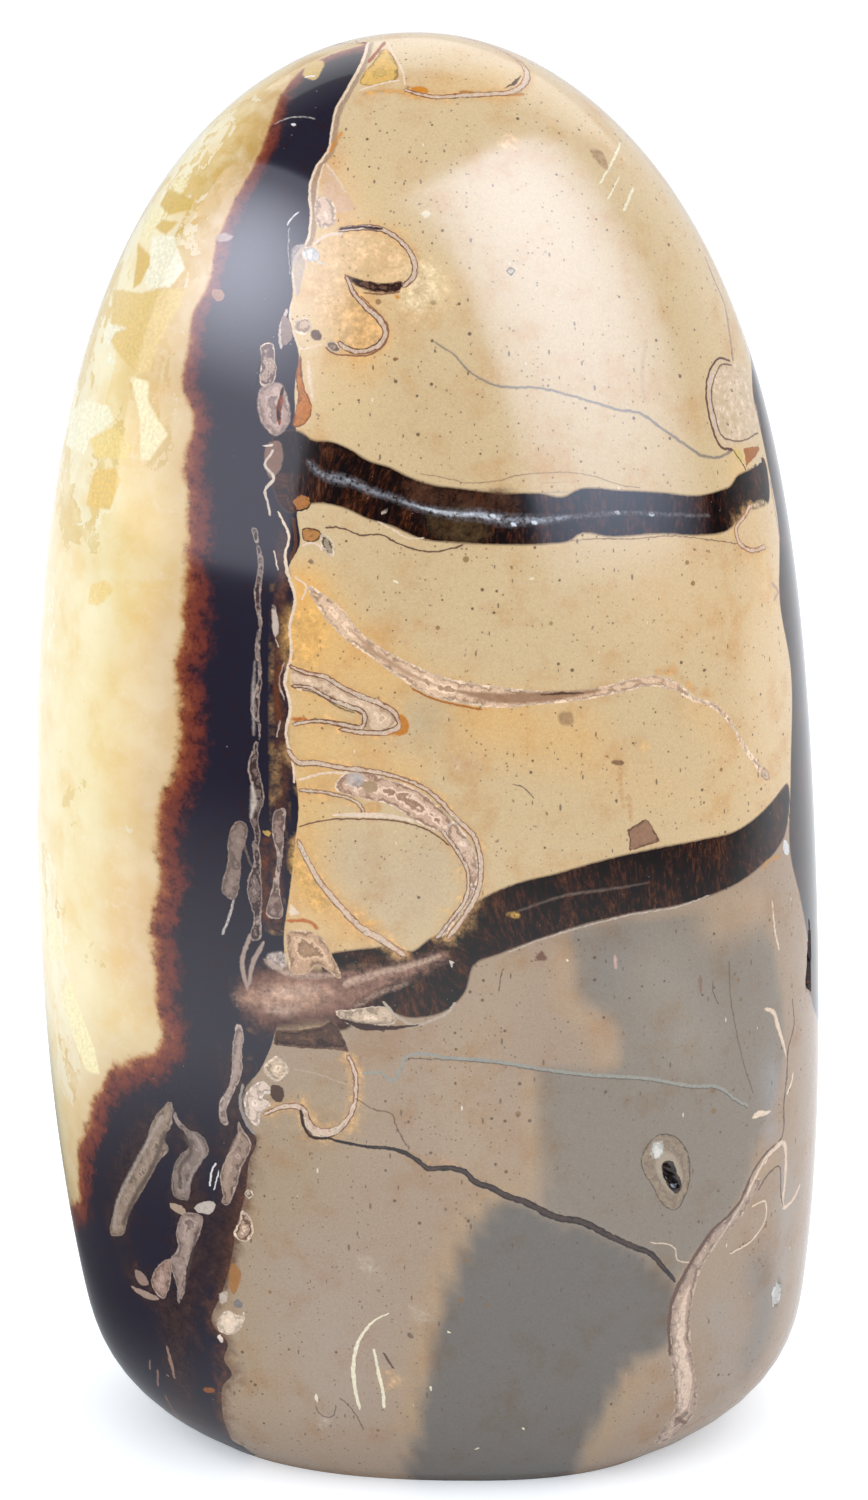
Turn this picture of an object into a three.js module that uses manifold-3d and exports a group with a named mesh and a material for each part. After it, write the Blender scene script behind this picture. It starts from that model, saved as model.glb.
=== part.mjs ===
// A septarian nodule: one concretion of limestone with a seam of yellow calcite down one flank,
// ground and polished to a tall, slightly leaning egg that stands by itself on a small flat foot.
// The stone is one solid. Its veins are flush with the polish, so only the open places are cut in:
// a little vug beside the seam of the front, an open crack on the right flank and one chipped crystal.
//
// Millimetres, +Z up. The origin is the middle of the bounding box on the plane that the foot rests
// on, the front faces -Y, and the calcite flank is on the -X side.

import * as THREE from 'three';
import { mergeVertices } from 'three/addons/utils/BufferGeometryUtils.js';
import Module from 'manifold-3d';

const wasm = await Module();
wasm.setup();

// ---------------------------------------------------------------- driving dimensions

const HEIGHT = 141; // foot to crown
const CROWN_POWER = 2.6; // profile of the dome: 2 is an ellipse, a larger number is blunter
const SECTION_POWER = 2.35; // outline of a level section: 2 is an ellipse, larger is squarer
const FOOT_ROUND = 15; // height over which the wall turns in to the foot
const AXIS = { foot: 4, crown: -1.8 }; // x of the stone's axis at its two ends: it leans left

// How far the stone reaches from its axis towards each side. The five numbers are the handles of a
// Bezier curve from foot to crown, before the dome and the foot round it off, and tuck is the share
// of the squared reach that the foot takes away.
const REACH = {
  left: { handles: [36.5, 45.5, 41, 49, 52.5], tuck: 0.36 },
  right: { handles: [31.5, 41.5, 33.5, 47.5, 49.5], tuck: 0.5 },
  front: { handles: [27, 28.5, 29, 33, 34], tuck: 0.35 },
  back: { handles: [25, 27.5, 27, 31, 34], tuck: 0.35 },
};

const LEVELS = 52; // rows of facets from foot to crown
const COLUMNS = 72; // facets round a level
const FOOT_RINGS = [0, 0.55]; // shares of the foot's own outline where its flat face has a ring

// The open places. A pit is centred at across, up on the face that it opens on, half as long, wide
// and deep as it says, and its length is turned from upright by slant, clockwise seen from outside.
const PITS = [
  { face: 'front', across: 22.9, up: 34.2, length: 4.6, width: 1.7, depth: 6, slant: -28, facets: 2 },
  { face: 'right', across: -9.5, up: 52, length: 7.4, width: 1.1, depth: 2.4, slant: 4, facets: 2 },
  { face: 'right', across: -15.5, up: 20.5, length: 3.2, width: 1.4, depth: 1.4, slant: 8, facets: 1 },
];
const PIT_ROUGHNESS = 0.22; // how far a pit's wall wanders, as a share of its size

// ---------------------------------------------------------------- the body's surface

function bezier(handles, t) {
  let level = handles.slice();
  while (level.length > 1) {
    level = level.slice(1).map((next, i) => level[i] * (1 - t) + next * t);
  }
  return level[0];
}

// Half the stone's size towards one side, at height z.
function reach(side, z) {
  const { handles, tuck } = REACH[side];
  const t = THREE.MathUtils.clamp(z / HEIGHT, 0, 1);
  const dome = Math.sqrt(1 - t ** CROWN_POWER);
  const low = THREE.MathUtils.clamp(1 - z / FOOT_ROUND, 0, 1);
  return bezier(handles, t) * dome * Math.sqrt(1 - tuck * low ** 3);
}

const axisAt = (z) => THREE.MathUtils.lerp(AXIS.foot, AXIS.crown, z / HEIGHT);

// The point on the level section at height z that lies at an angle round the axis, drawn in towards
// the axis when share is under 1.
function sectionPoint(angle, z, share) {
  const c = Math.cos(angle);
  const s = Math.sin(angle);
  const bend = 2 / SECTION_POWER;
  const x = Math.sign(c) * Math.abs(c) ** bend * reach(c < 0 ? 'left' : 'right', z);
  const y = Math.sign(s) * Math.abs(s) ** bend * reach(s < 0 ? 'front' : 'back', z);
  return new THREE.Vector3(axisAt(z) + x * share, y * share, z);
}

// The point of the surface straight behind a spot of a face: across and up are measured square to it.
function facePoint(face, across, up) {
  if (face === 'front') {
    const x = across - axisAt(up);
    const share = Math.abs(x) / reach(x < 0 ? 'left' : 'right', up);
    const y = -reach('front', up) * (1 - share ** SECTION_POWER) ** (1 / SECTION_POWER);
    return new THREE.Vector3(across, y, up);
  }
  const share = Math.abs(across) / reach(across < 0 ? 'front' : 'back', up);
  const x = axisAt(up) + reach('right', up) * (1 - share ** SECTION_POWER) ** (1 / SECTION_POWER);
  return new THREE.Vector3(x, across, up);
}

// The outward normal there, from two short steps on the face.
function faceNormal(face, across, up) {
  const step = 0.5;
  const here = facePoint(face, across, up);
  const along = facePoint(face, across + step, up).sub(here);
  const above = facePoint(face, across, up + step).sub(here);
  return along.cross(above).normalize();
}

// ---------------------------------------------------------------- solids

function solidOf(geometry) {
  const bare = geometry.clone();
  bare.deleteAttribute('normal');
  bare.deleteAttribute('uv');
  const merged = mergeVertices(bare, 1e-3);
  const corners = merged.index.array;
  const kept = [];
  for (let i = 0; i < corners.length; i += 3) {
    const [a, b, c] = corners.slice(i, i + 3);
    if (a !== b && b !== c && c !== a) kept.push(a, b, c);
  }
  const vertProperties = merged.getAttribute('position').array;
  return new wasm.Manifold(new wasm.Mesh({ numProp: 3, vertProperties, triVerts: new Uint32Array(kept) }));
}

function geometryOf(solid) {
  const { vertProperties, triVerts } = solid.getMesh();
  const geometry = new THREE.BufferGeometry();
  geometry.setAttribute('position', new THREE.BufferAttribute(new Float32Array(vertProperties), 3));
  geometry.setIndex(new THREE.BufferAttribute(new Uint32Array(triVerts), 1));
  geometry.computeVertexNormals();
  return geometry;
}

// The egg: a lathe of unit radius, whose rings are then bent to the stone's own level sections.
function bodyGeometry() {
  const profile = FOOT_RINGS.map((share) => new THREE.Vector2(share, 0));
  for (let i = 0; i < LEVELS; i++) {
    profile.push(new THREE.Vector2(1, (HEIGHT * (1 - Math.cos((Math.PI * i) / LEVELS))) / 2));
  }
  profile.push(new THREE.Vector2(0, HEIGHT));
  const egg = new THREE.LatheGeometry(profile, COLUMNS).rotateX(Math.PI / 2);
  const position = egg.getAttribute('position');
  for (let i = 0; i < position.count; i++) {
    const share = Math.hypot(position.getX(i), position.getY(i));
    const angle = Math.atan2(position.getY(i), position.getX(i));
    const point = sectionPoint(angle, position.getZ(i), share);
    position.setXYZ(i, point.x, point.y, point.z);
  }
  return egg;
}

// A pit's hollow: a ball of few facets with a wandering wall, stretched and laid into the surface.
function pitGeometry({ face, across, up, length, width, depth, slant, facets }) {
  const hollow = mergeVertices(new THREE.IcosahedronGeometry(1, facets).deleteAttribute('normal').deleteAttribute('uv'));
  const position = hollow.getAttribute('position');
  const point = new THREE.Vector3();
  for (let i = 0; i < position.count; i++) {
    point.fromBufferAttribute(position, i);
    const wander = Math.sin(7.3 * point.x + 2.1) * Math.sin(5.9 * point.y - 1.3) * Math.sin(6.7 * point.z + 0.4);
    point.multiplyScalar(1 + PIT_ROUGHNESS * (wander * 2 + 0.5 * Math.sin(i * 2.4)));
    position.setXYZ(i, point.x, point.y, point.z);
  }
  const outward = faceNormal(face, across, up);
  const upright = new THREE.Vector3(0, 0, 1).projectOnPlane(outward).normalize();
  upright.applyAxisAngle(outward, -THREE.MathUtils.degToRad(slant));
  const sideways = upright.clone().cross(outward);
  return hollow
    .scale(width / 2, length / 2, depth / 2)
    .applyMatrix4(new THREE.Matrix4().makeBasis(sideways, upright, outward.clone()))
    .translate(...facePoint(face, across, up).toArray());
}

// ---------------------------------------------------------------- the part

let stone = solidOf(bodyGeometry());
for (const pit of PITS) stone = stone.subtract(solidOf(pitGeometry(pit)));

const geometry = geometryOf(stone);
geometry.computeBoundingBox();
const middle = geometry.boundingBox.getCenter(new THREE.Vector3());
geometry.translate(-middle.x, -middle.y, 0);

const nodule = new THREE.Mesh(
  geometry,
  new THREE.MeshStandardMaterial({ color: 0xb59a72, roughness: 0.22, metalness: 0 }),
);
nodule.name = 'septarian_nodule';

const part = new THREE.Group();
part.add(nodule);

export default part;
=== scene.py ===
# A septarian nodule: a concretion of limestone that cracked as it dried, healed with dark and yellow
# calcite, and was then ground and polished to a leaning egg on a small flat foot.
#
# Everything is worked out in millimetres in the frame's own axes and written to meshes in metres.

import math

import bmesh
import bpy
import numpy as np
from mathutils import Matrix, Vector
from mathutils.kdtree import KDTree


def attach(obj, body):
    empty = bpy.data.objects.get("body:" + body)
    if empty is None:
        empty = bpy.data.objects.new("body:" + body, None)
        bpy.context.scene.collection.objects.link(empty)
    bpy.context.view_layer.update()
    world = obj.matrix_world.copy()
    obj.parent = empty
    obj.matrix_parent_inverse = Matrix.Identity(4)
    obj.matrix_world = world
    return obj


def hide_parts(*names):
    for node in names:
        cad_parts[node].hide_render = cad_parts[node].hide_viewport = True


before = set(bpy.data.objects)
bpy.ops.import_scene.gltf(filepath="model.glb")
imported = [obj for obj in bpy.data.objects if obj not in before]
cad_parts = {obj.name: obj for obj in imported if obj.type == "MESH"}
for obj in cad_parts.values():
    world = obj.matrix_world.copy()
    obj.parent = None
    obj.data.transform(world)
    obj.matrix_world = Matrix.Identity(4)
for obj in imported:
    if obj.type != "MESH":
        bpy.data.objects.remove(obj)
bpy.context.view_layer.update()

MM = 0.001

# ---------------------------------------------------------------- the camera and the drawing sheet
# The camera looks down on the stone a little. A drawing sheet stands square to its line of sight
# through the middle of the stone: the front's veins are placed on it, in millimetres from its top
# left corner, and thrown from the eye on to the stone.

SHEET_WIDE = 86.8
SHEET_TALL = 150.0
STAND_OFF = 480.0
LOOK_DOWN = math.radians(16)
AIM = np.array((0.4, 0.75, 69.5))
RIGHTWARD = np.array((1.0, 0.0, 0.0))
UPWARD = np.array((0.0, math.sin(LOOK_DOWN), math.cos(LOOK_DOWN)))
TOWARDS = np.array((0.0, -math.cos(LOOK_DOWN), math.sin(LOOK_DOWN)))
EYE = AIM + STAND_OFF * TOWARDS

lens = bpy.data.cameras.new("camera")
lens.sensor_fit = "VERTICAL"
lens.sensor_height = 36.0
lens.lens = lens.sensor_height * STAND_OFF / SHEET_TALL
lens.clip_start = 0.02
lens.clip_end = 60.0
camera = bpy.data.objects.new("camera", lens)
camera.location = EYE * MM
camera.rotation_euler = (math.pi / 2 - LOOK_DOWN, 0.0, 0.0)
bpy.context.scene.collection.objects.link(camera)
bpy.context.scene.camera = camera

# ---------------------------------------------------------------- the ground and polished body
# The egg that the grinder left. Its level sections are squarish ovals, and how far they reach to each
# side follows one Bezier curve from foot to crown, rounded off by the dome and by the foot.

HEIGHT = 141.0
CROWN_POWER = 2.6
SECTION_POWER = 2.35
FOOT_ROUND = 15.0
AXIS_FOOT = 4.4
AXIS_CROWN = -1.4
AXIS_BACK = 0.75  # the axis lies this far behind the origin
# for each side, the handles of its curve and the share of the squared reach that the foot takes away
REACH = {
    "left": ((36.5, 45.5, 41, 49, 52.5), 0.36),
    "right": ((31.5, 41.5, 33.5, 47.5, 49.5), 0.5),
    "front": ((27, 28.5, 29, 33, 34), 0.35),
    "back": ((25, 27.5, 27, 31, 34), 0.35),
}


def reach(side, z):
    """How far the stone reaches from its axis towards one side at heights z, before the dome."""
    handles, tuck = REACH[side]
    t = np.clip(z / HEIGHT, 0, 1)
    last = len(handles) - 1
    curve = sum(math.comb(last, i) * (1 - t) ** (last - i) * t**i * h for i, h in enumerate(handles))
    low = np.clip(1 - z / FOOT_ROUND, 0, 1)
    return curve * np.sqrt(1 - tuck * low**3)


def axis_at(z):
    """How far right the leaning axis stands at heights z."""
    return AXIS_FOOT + (AXIS_CROWN - AXIS_FOOT) * z / HEIGHT


def section_spots(c, s, z, share):
    """Spots of the level sections at heights z, in the directions (c, s), at a share of the reach."""
    bulge = (np.abs(c) ** SECTION_POWER + np.abs(s) ** SECTION_POWER) ** (-1 / SECTION_POWER)
    x = c * bulge * share * np.where(c < 0, reach("left", z), reach("right", z))
    y = s * bulge * share * np.where(s < 0, reach("front", z), reach("back", z))
    return np.stack((x + axis_at(z), y + AXIS_BACK, z), axis=1)


def outside(spots):
    """Below nought inside the stone, nought on its polish and above it outside."""
    x = spots[:, 0] - axis_at(spots[:, 2])
    y = spots[:, 1] - AXIS_BACK
    z = spots[:, 2]
    across = np.where(x < 0, reach("left", z), reach("right", z))
    through = np.where(y < 0, reach("front", z), reach("back", z))
    ring = (np.abs(x) / across) ** SECTION_POWER + (np.abs(y) / through) ** SECTION_POWER
    return ring ** (2 / SECTION_POWER) + np.clip(z / HEIGHT, 0, None) ** CROWN_POWER - 1


def steepness(spots):
    """The gradient of outside, which points straight out of the polish."""
    nudge = 0.02
    sides = []
    for k in range(3):
        step = np.zeros(3)
        step[k] = nudge
        sides.append((outside(spots + step) - outside(spots - step)) / (2 * nudge))
    return np.stack(sides, axis=1)


def settled(spots, rounds=3):
    """The same spots moved straight on to the polish."""
    for _ in range(rounds):
        steep = steepness(spots)
        spots = spots - steep * (outside(spots) / (steep**2).sum(axis=1))[:, None]
    return spots


def facing(spots):
    """The outward direction at each spot of the polish."""
    steep = steepness(spots)
    return steep / np.linalg.norm(steep, axis=1)[:, None]


# ---------------------------------------------------------------- how veins are laid on the stone
# A vein is a line with a width, and a crystal or a healed hollow is a closed outline. Each keeps its
# run of close points on the polish, and later every corner of the mesh is told how far off it lies.

PACE = 0.35  # between the points of a run
NEAR = 0.6  # how far past its edge a mark is still measured
CLAIM = 0.85  # no two marks of one layer come nearer than this to the same corner
SOFT = 0.05  # half the width over which an edge fades
SEARCH = (-70.0, 60.0)  # where a line of sight is searched for the polish, from the sheet's plane
SEARCH_STEPS = 131
HALVINGS = 22  # rounds in which the place found is halved in on
END_GAP = 0.3  # no spot is placed nearer than this to the foot's plane or the crown
BATCH = 4000  # spots that are worked on at once


def on_front(points):
    """The spots of the stone behind points of the drawing sheet."""
    points = np.array(points, float)
    aimed = np.outer(points[:, 0] - SHEET_WIDE / 2, RIGHTWARD)
    aimed += np.outer(SHEET_TALL / 2 - points[:, 1], UPWARD)
    ray = AIM + aimed - EYE
    ray /= np.linalg.norm(ray, axis=1)[:, None]
    far_off = np.linspace(STAND_OFF + SEARCH[0], STAND_OFF + SEARCH[1], SEARCH_STEPS)
    along = EYE + ray[:, None, :] * far_off[None, :, None]
    level = outside(along.reshape(-1, 3)).reshape(len(points), -1)
    met = (level < 0).any(axis=1)
    first = np.where(met, (level < 0).argmax(axis=1), level.argmin(axis=1))
    near = far_off[np.maximum(first - 1, 0)]
    far = far_off[first]
    for _ in range(HALVINGS):
        middle = (near + far) / 2
        within = outside(EYE + ray * middle[:, None]) < 0
        far = np.where(within & met, middle, far)
        near = np.where(within | ~met, near, middle)
    return settled(EYE + ray * far[:, None])


def round_at(points):
    """The spots of the stone at a bearing and a height: nought is the front, 90 the right flank."""
    points = np.array(points, float)
    z = np.clip(points[:, 1], END_GAP, HEIGHT - END_GAP)
    bearing = np.radians(points[:, 0])
    dome = np.sqrt(1 - (z / HEIGHT) ** CROWN_POWER)
    return section_spots(np.sin(bearing), -np.cos(bearing), z, dome)


def run_through(corners, closed=False, bent=True):
    """Close points along a smooth curve, or straight sides, through corners on the stone."""
    corners = np.asarray(corners)
    if closed:
        bounds = np.vstack((corners[-1:], corners, corners[:2]))
    else:
        bounds = np.vstack((2 * corners[:1] - corners[1:2], corners, 2 * corners[-1:] - corners[-2:-1]))
    step = np.diff(bounds, axis=0)
    long = np.maximum(np.linalg.norm(step, axis=1), 1e-6)
    way = step / long[:, None]
    lean = (way[:-1] * long[1:, None] + way[1:] * long[:-1, None]) / (long[:-1] + long[1:])[:, None]
    run = []
    for i in range(1, len(bounds) - 2):
        count = max(1, math.ceil(long[i] / PACE))
        t = (np.arange(count) / count)[:, None]
        if bent:
            rise = 3 * t**2 - 2 * t**3
            leave = lean[i - 1] * long[i] * (t**3 - 2 * t**2 + t)
            arrive = lean[i] * long[i] * (t**3 - t**2)
            run.append(bounds[i] + step[i] * rise + leave + arrive)
        else:
            run.append(bounds[i] + step[i] * t)
    if not closed:
        run.append(corners[-1:])
    return settled(np.vstack(run), 2)


def measured(spots, out, run, closed):
    """Each spot's signed distance to a run (its left is above nought), its way along the run, and how
    far it lies past an open end."""
    nodes = np.vstack((run, run[:1])) if closed else run
    step = np.diff(nodes, axis=0)
    long = np.maximum(np.linalg.norm(step, axis=1), 1e-9)
    start = np.concatenate(((0,), np.cumsum(long)))
    nearest = np.empty(len(spots), int)
    for first in range(0, len(spots), BATCH):
        some = spots[first:first + BATCH]
        square = (run**2).sum(axis=1)[None, :] - 2 * some @ run.T
        nearest[first:first + BATCH] = square.argmin(axis=1)
    best = np.full(len(spots), np.inf)
    across = np.zeros(len(spots))
    along = np.zeros(len(spots))
    past = np.zeros(len(spots))
    for shift in (-1, 0):
        leg = (nearest + shift) % len(step) if closed else np.clip(nearest + shift, 0, len(step) - 1)
        offset = spots - nodes[leg]
        t = (offset * step[leg]).sum(axis=1) / long[leg] ** 2
        held = np.clip(t, 0, 1)
        gap = np.linalg.norm(offset - step[leg] * held[:, None], axis=1)
        side = (np.cross(step[leg], offset) * out).sum(axis=1) / long[leg]
        over = np.zeros(len(spots))
        if not closed:
            over = np.where((leg == 0) & (t < 0), -t * long[leg], 0)
            over = np.where((leg == len(step) - 1) & (t > 1), (t - 1) * long[leg], over)
        better = gap < best
        best = np.where(better, gap, best)
        signed = np.where(over > 0, side, np.sign(side) * gap)
        across = np.where(better, signed, across)
        along = np.where(better, start[leg] + held * long[leg], along)
        past = np.where(better, over, past)
    return across, along, past


marks = []


def add_mark(run, wide, core, rim, rim_wide, soft, veil):
    rim = rim or core
    marks.append(dict(run=run, wide=wide, core=core, rim=rim, rim_wide=rim_wide, soft=soft, veil=veil))


def vein(points, wide, core, rim=None, rim_wide=0.0, soft=SOFT, veil=1.0, place=on_front):
    """A line of the given full width, or of widths that follow each other along it. Its rim is another
    colour, soft is half the width of its fading edge, and veil is how solid it is."""
    add_mark(run_through(place(points)), np.atleast_1d(wide), core, rim, rim_wide, soft, veil)


def patch(points, core, rim=None, rim_wide=0.0, soft=SOFT, veil=1.0, bent=True):
    """A closed outline, filled, with curved sides or, when it isn't bent, straight ones."""
    run = run_through(on_front(points), closed=True, bent=bent)
    add_mark(run, None, core, rim, rim_wide, soft, veil)


# ---------------------------------------------------------------- the two walls
# The yellow calcite fills the left flank. Wall A is where it meets the dark fibrous calcite, and wall B
# is where that band meets the limestone. Both go over the crown, round the back and under the foot.

WALL_A_FRONT = [
    (36.2, 4.6), (34, 5.2), (30.8, 6.7), (28.4, 9.2), (27.3, 12), (26.2, 15.2), (24.8, 17.8), (23.3, 20.8),
    (21.9, 24), (20.9, 28.5), (19.5, 31.5), (19.1, 34.5), (18.5, 37.5), (19.4, 43), (18.6, 46.5),
    (19.3, 51), (18.7, 58), (18.7, 64), (18, 65.5), (18.3, 71), (18.1, 75.5), (16.5, 80.5), (15.9, 84),
    (16.5, 88), (15.4, 92.5), (15.8, 97), (16.3, 101), (16.8, 104), (15.5, 105.6), (12.3, 106.8),
    (10.6, 108.3), (9.2, 111.6), (8.1, 115.3), (7.9, 120),
]
WALL_A_BACK = [
    (-72, 24), (-82, 23), (-100, 23), (-118, 24), (-136, 27), (-148, 33), (-156, 45), (-158, 60), (-162, 76),
    (-160, 90), (-164, 104), (-166, 116), (-163, 127), (-152, 134), (-120, 138.5),
]
WALL_B_FRONT = [
    (36.8, 4.2), (36.0, 6.3), (34.6, 8.9), (33.35, 11.3), (33.1, 12.8), (32.75, 14.9), (31.5, 16.7),
    (30.95, 18.3), (31.0, 22), (30.7, 24), (29.4, 25.7), (29.15, 27.5), (29.3, 29.4), (28.9, 31.2),
    (29.3, 33.4), (29.85, 35.2), (29.5, 38.5), (29.6, 43), (30.2, 47.5), (29.7, 51.5), (30.0, 54.3),
    (28.8, 57), (29.5, 60), (29.0, 62.5), (29.05, 65.4), (28.5, 68), (28.9, 69.9), (28.6, 74.3),
    (29.35, 77), (29.85, 80), (29.5, 84.5), (29.2, 87.5), (28.8, 90.4), (28.4, 93.5), (28.5, 97),
    (28.0, 101), (27.0, 104.9), (26.0, 107), (24.5, 108.9), (24.1, 110.4), (24.7, 112.7), (25.6, 113.7),
    (24.9, 116.2), (24.6, 119), (23.6, 123), (23.1, 126), (22.2, 129.3), (21.2, 132.3), (22.8, 134.4),
    (22.4, 136), (23.2, 137.3), (22.3, 138.6), (22.2, 140.7), (23.0, 143.6),
]
WALL_B_BACK = [
    (-165, 2), (-168, 9), (-172, 20), (178, 32), (180, 44), (176, 55), (179, 68), (174, 80), (177, 92),
    (172, 104), (173, 115), (170, 125), (164, 133), (140, 138.6),
]
UNDER_STEPS = 60  # the straight way of wall B under the foot

wall_a = run_through(np.vstack((on_front(WALL_A_FRONT), round_at(WALL_A_BACK))), closed=True)
wall_b_down = run_through(on_front(WALL_B_FRONT))
wall_b_up = run_through(round_at(WALL_B_BACK))
wall_b_under = np.linspace(wall_b_down[-1], wall_b_up[0], UNDER_STEPS)[1:-1] * (1, 1, 0)
wall_b = np.vstack((wall_b_down, wall_b_under, wall_b_up))

# ---------------------------------------------------------------- the limestone
# Fine limestone, tan where iron has stained it and taupe or slate where it is fresh. Its tones change
# softly, except where a vein cuts them off.

tones = {"limestone": [], "calcite": [], "crystals": []}


def tone(kind, points, spread, colour, share, place=on_front, filled=False):
    """A soft cloud of colour, round a line or over a whole outline. For the crystals the colour stands for
    chances."""
    spots = place(points)
    run = run_through(spots, closed=filled) if len(spots) > 1 else spots
    tones[kind].append(dict(run=run, filled=filled, spread=spread, colour=colour, share=share))


TAN = (0.72, 0.54, 0.315)
PALE_TAN = (0.80, 0.63, 0.42)
OCHRE = (0.80, 0.52, 0.22)
TAUPE = (0.415, 0.305, 0.215)
SLATE = (0.168, 0.153, 0.137)
SLATE_TAN = (0.265, 0.228, 0.185)

for points, spread, colour, share in (
    (((36, 4), (60, 8), (74, 25), (78, 45), (78, 62)), 9, PALE_TAN, 0.8),
    (((38, 40), (44, 43), (40, 58)), 6, (0.68, 0.50, 0.28), 0.6),
    (((34, 20), (33, 30), (33, 40)), 5, (0.82, 0.60, 0.33), 0.7),
    (((30, 61), (31, 66), (31, 76), (31, 90)), 3.2, OCHRE, 0.85),
    (((33, 62), (37, 67), (42, 69.5), (47, 71.5), (51, 71.8)), 2.2, (0.84, 0.50, 0.18), 0.75),
    (((30.5, 59), (31.5, 65)), 2.4, (0.90, 0.52, 0.17), 0.95),
    (((32, 74.6), (37, 75.4), (42, 77)), 1.6, (0.82, 0.53, 0.23), 0.7),
    (((30.5, 85), (32, 89), (35, 93)), 1.8, (0.84, 0.52, 0.20), 0.8),
    (((34, 25.5), (38, 25), (40, 27), (43, 29)), 2.4, (0.86, 0.56, 0.25), 0.75),
    (((34, 31), (37, 33), (36, 36)), 2.0, (0.84, 0.52, 0.22), 0.75),
    (((33, 17), (34.5, 21)), 1.8, (0.84, 0.56, 0.30), 0.8),
    (((44, 8.5), (50, 8)), 2.0, (0.78, 0.52, 0.24), 0.6),
    (((55, 72), (62, 78), (66, 79)), 2.5, (0.78, 0.52, 0.26), 0.5),
    (((74, 47), (75.5, 53), (76.5, 60)), 2.2, (0.84, 0.56, 0.26), 0.7),
    (((70, 71), (74, 76)), 2.0, (0.82, 0.54, 0.26), 0.7),
    (((36, 66), (42, 70), (50, 73), (58, 74)), 3.5, (0.80, 0.52, 0.23), 0.8),
    (((42.5, 71.5),), 3, (0.56, 0.46, 0.31), 0.7),
    (((67, 60), (75, 62), (76, 74), (72, 80)), 7, (0.79, 0.57, 0.32), 0.8),
    (((36, 86), (41, 90), (43, 86)), 4, (0.63, 0.49, 0.32), 0.8),
):
    tone("limestone", points, spread, colour, share)
BELOW = (
    (34, 104), (31, 100), (38, 98.5), (43, 98), (46.3, 95.4), (49, 92.4), (54, 91), (60, 89.2), (70, 87),
    (80, 82), (84, 88), (88, 110), (86, 140), (70, 152), (43, 153), (18, 150), (18, 130), (22, 112),
    (27, 103.5),
)
tone("limestone", BELOW, 0.9, TAUPE, 1.0, filled=True)
for points, spread, colour, share in (
    (((26, 138), (26, 122), (32, 112)), 6, (0.45, 0.34, 0.22), 0.7),
    (((30, 128), (34, 138)), 6, (0.445, 0.357, 0.29), 0.6),
    (((50, 98), (46, 108), (48, 116)), 4, (0.47, 0.35, 0.235), 0.7),
):
    tone("limestone", points, spread, colour, share)
SLATE_BAND = (
    (57, 93.6), (57.2, 95), (57.5, 98), (58.3, 100.2), (60.4, 101.3), (61.6, 102.6), (62, 104.8),
    (61.9, 106.6), (60, 107), (56, 106.8), (53.9, 107), (53.7, 109.5), (53.9, 113), (54.2, 117),
    (54.6, 120.9), (58, 122.2), (61, 123.6), (65, 125.5), (67.4, 127.9), (69.3, 125.6), (72, 122.6),
    (74.3, 119), (75.6, 115), (77.4, 110), (78.4, 105), (78, 99), (77, 94), (74, 90.5), (70, 91.2),
    (62, 92.5),
)
tone("limestone", SLATE_BAND, 0.7, SLATE_TAN, 0.9, filled=True)
for points, spread, colour, share in (
    (((60, 98), (62, 93.5)), 2.2, (0.26, 0.235, 0.21), 0.7),
    (((66, 97), (69, 104)), 4, (0.36, 0.31, 0.25), 0.7),
    (((72, 92), (75, 91)), 2.5, (0.52, 0.37, 0.24), 0.8),
    (((77.2, 107), (77, 113)), 1.4, (0.36, 0.36, 0.37), 0.6),
    (((76, 127), (76.5, 131), (75, 136)), 2.6, (0.27, 0.245, 0.22), 0.8),
):
    tone("limestone", points, spread, colour, share)
SLATE_LOW = (
    (50.3, 120.1), (47.3, 123), (45.5, 127), (44, 132), (43, 137), (41.8, 143), (41, 148), (52, 152),
    (57, 147.6), (58.2, 145), (60.5, 141), (63, 136.6), (66.6, 134.5), (67.3, 131), (67.4, 128.6),
    (66, 126.9), (63.8, 125.2), (60.8, 123.8), (58, 122.5), (55.5, 122), (52.5, 120.5),
)
for points, spread, colour, share in (
    (((51, 119.2), (46.8, 122.4), (44.6, 127), (43, 132), (42, 137), (40.8, 143)), 1.5, (0.47, 0.325, 0.19),
     0.9),
    (((59, 146), (61.4, 141), (64, 137.4)), 1.5, (0.46, 0.33, 0.20), 0.8),
    (((52.9, 108.4), (52.9, 113), (53.4, 118)), 1.1, (0.47, 0.335, 0.21), 0.8),
    (((56.2, 96), (56.8, 100.6), (59.6, 102.8), (60.8, 105.8)), 1.3, (0.50, 0.35, 0.22), 0.8),
):
    tone("limestone", points, spread, colour, share)
tone("limestone", SLATE_LOW, 0.8, SLATE, 0.97, filled=True)
tone("limestone", ((72, 131), (72, 140)), 2.5, (0.40, 0.33, 0.27), 0.8)
tone("limestone", ((78.5, 118), (78.5, 128)), 2, (0.42, 0.36, 0.31), 0.8)

# The back is the same stone: tan above its own dark vein, and taupe and slate below it.
BACK_BELOW = (
    (190, 49), (175, 51), (160, 52), (140, 56), (120, 62), (100, 66), (84, 66), (74, 58), (68, 36), (61, 16),
    (60, -6), (192, -6), (193, 30),
)
tone("limestone", BACK_BELOW, 1.5, TAUPE, 1.0, place=round_at, filled=True)
tone("limestone", ((118, 30), (128, 42), (145, 40), (150, 22), (138, 8), (120, 12)), 1.5, SLATE_TAN, 0.9,
     place=round_at, filled=True)
tone("limestone", ((160, 120), (140, 112), (120, 100)), 9, PALE_TAN, 0.8, place=round_at)
tone("limestone", ((165, 78), (168, 96)), 4, OCHRE, 0.8, place=round_at)
tone("limestone", ((130, 84), (112, 80)), 5, (0.66, 0.49, 0.29), 0.8, place=round_at)

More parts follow.
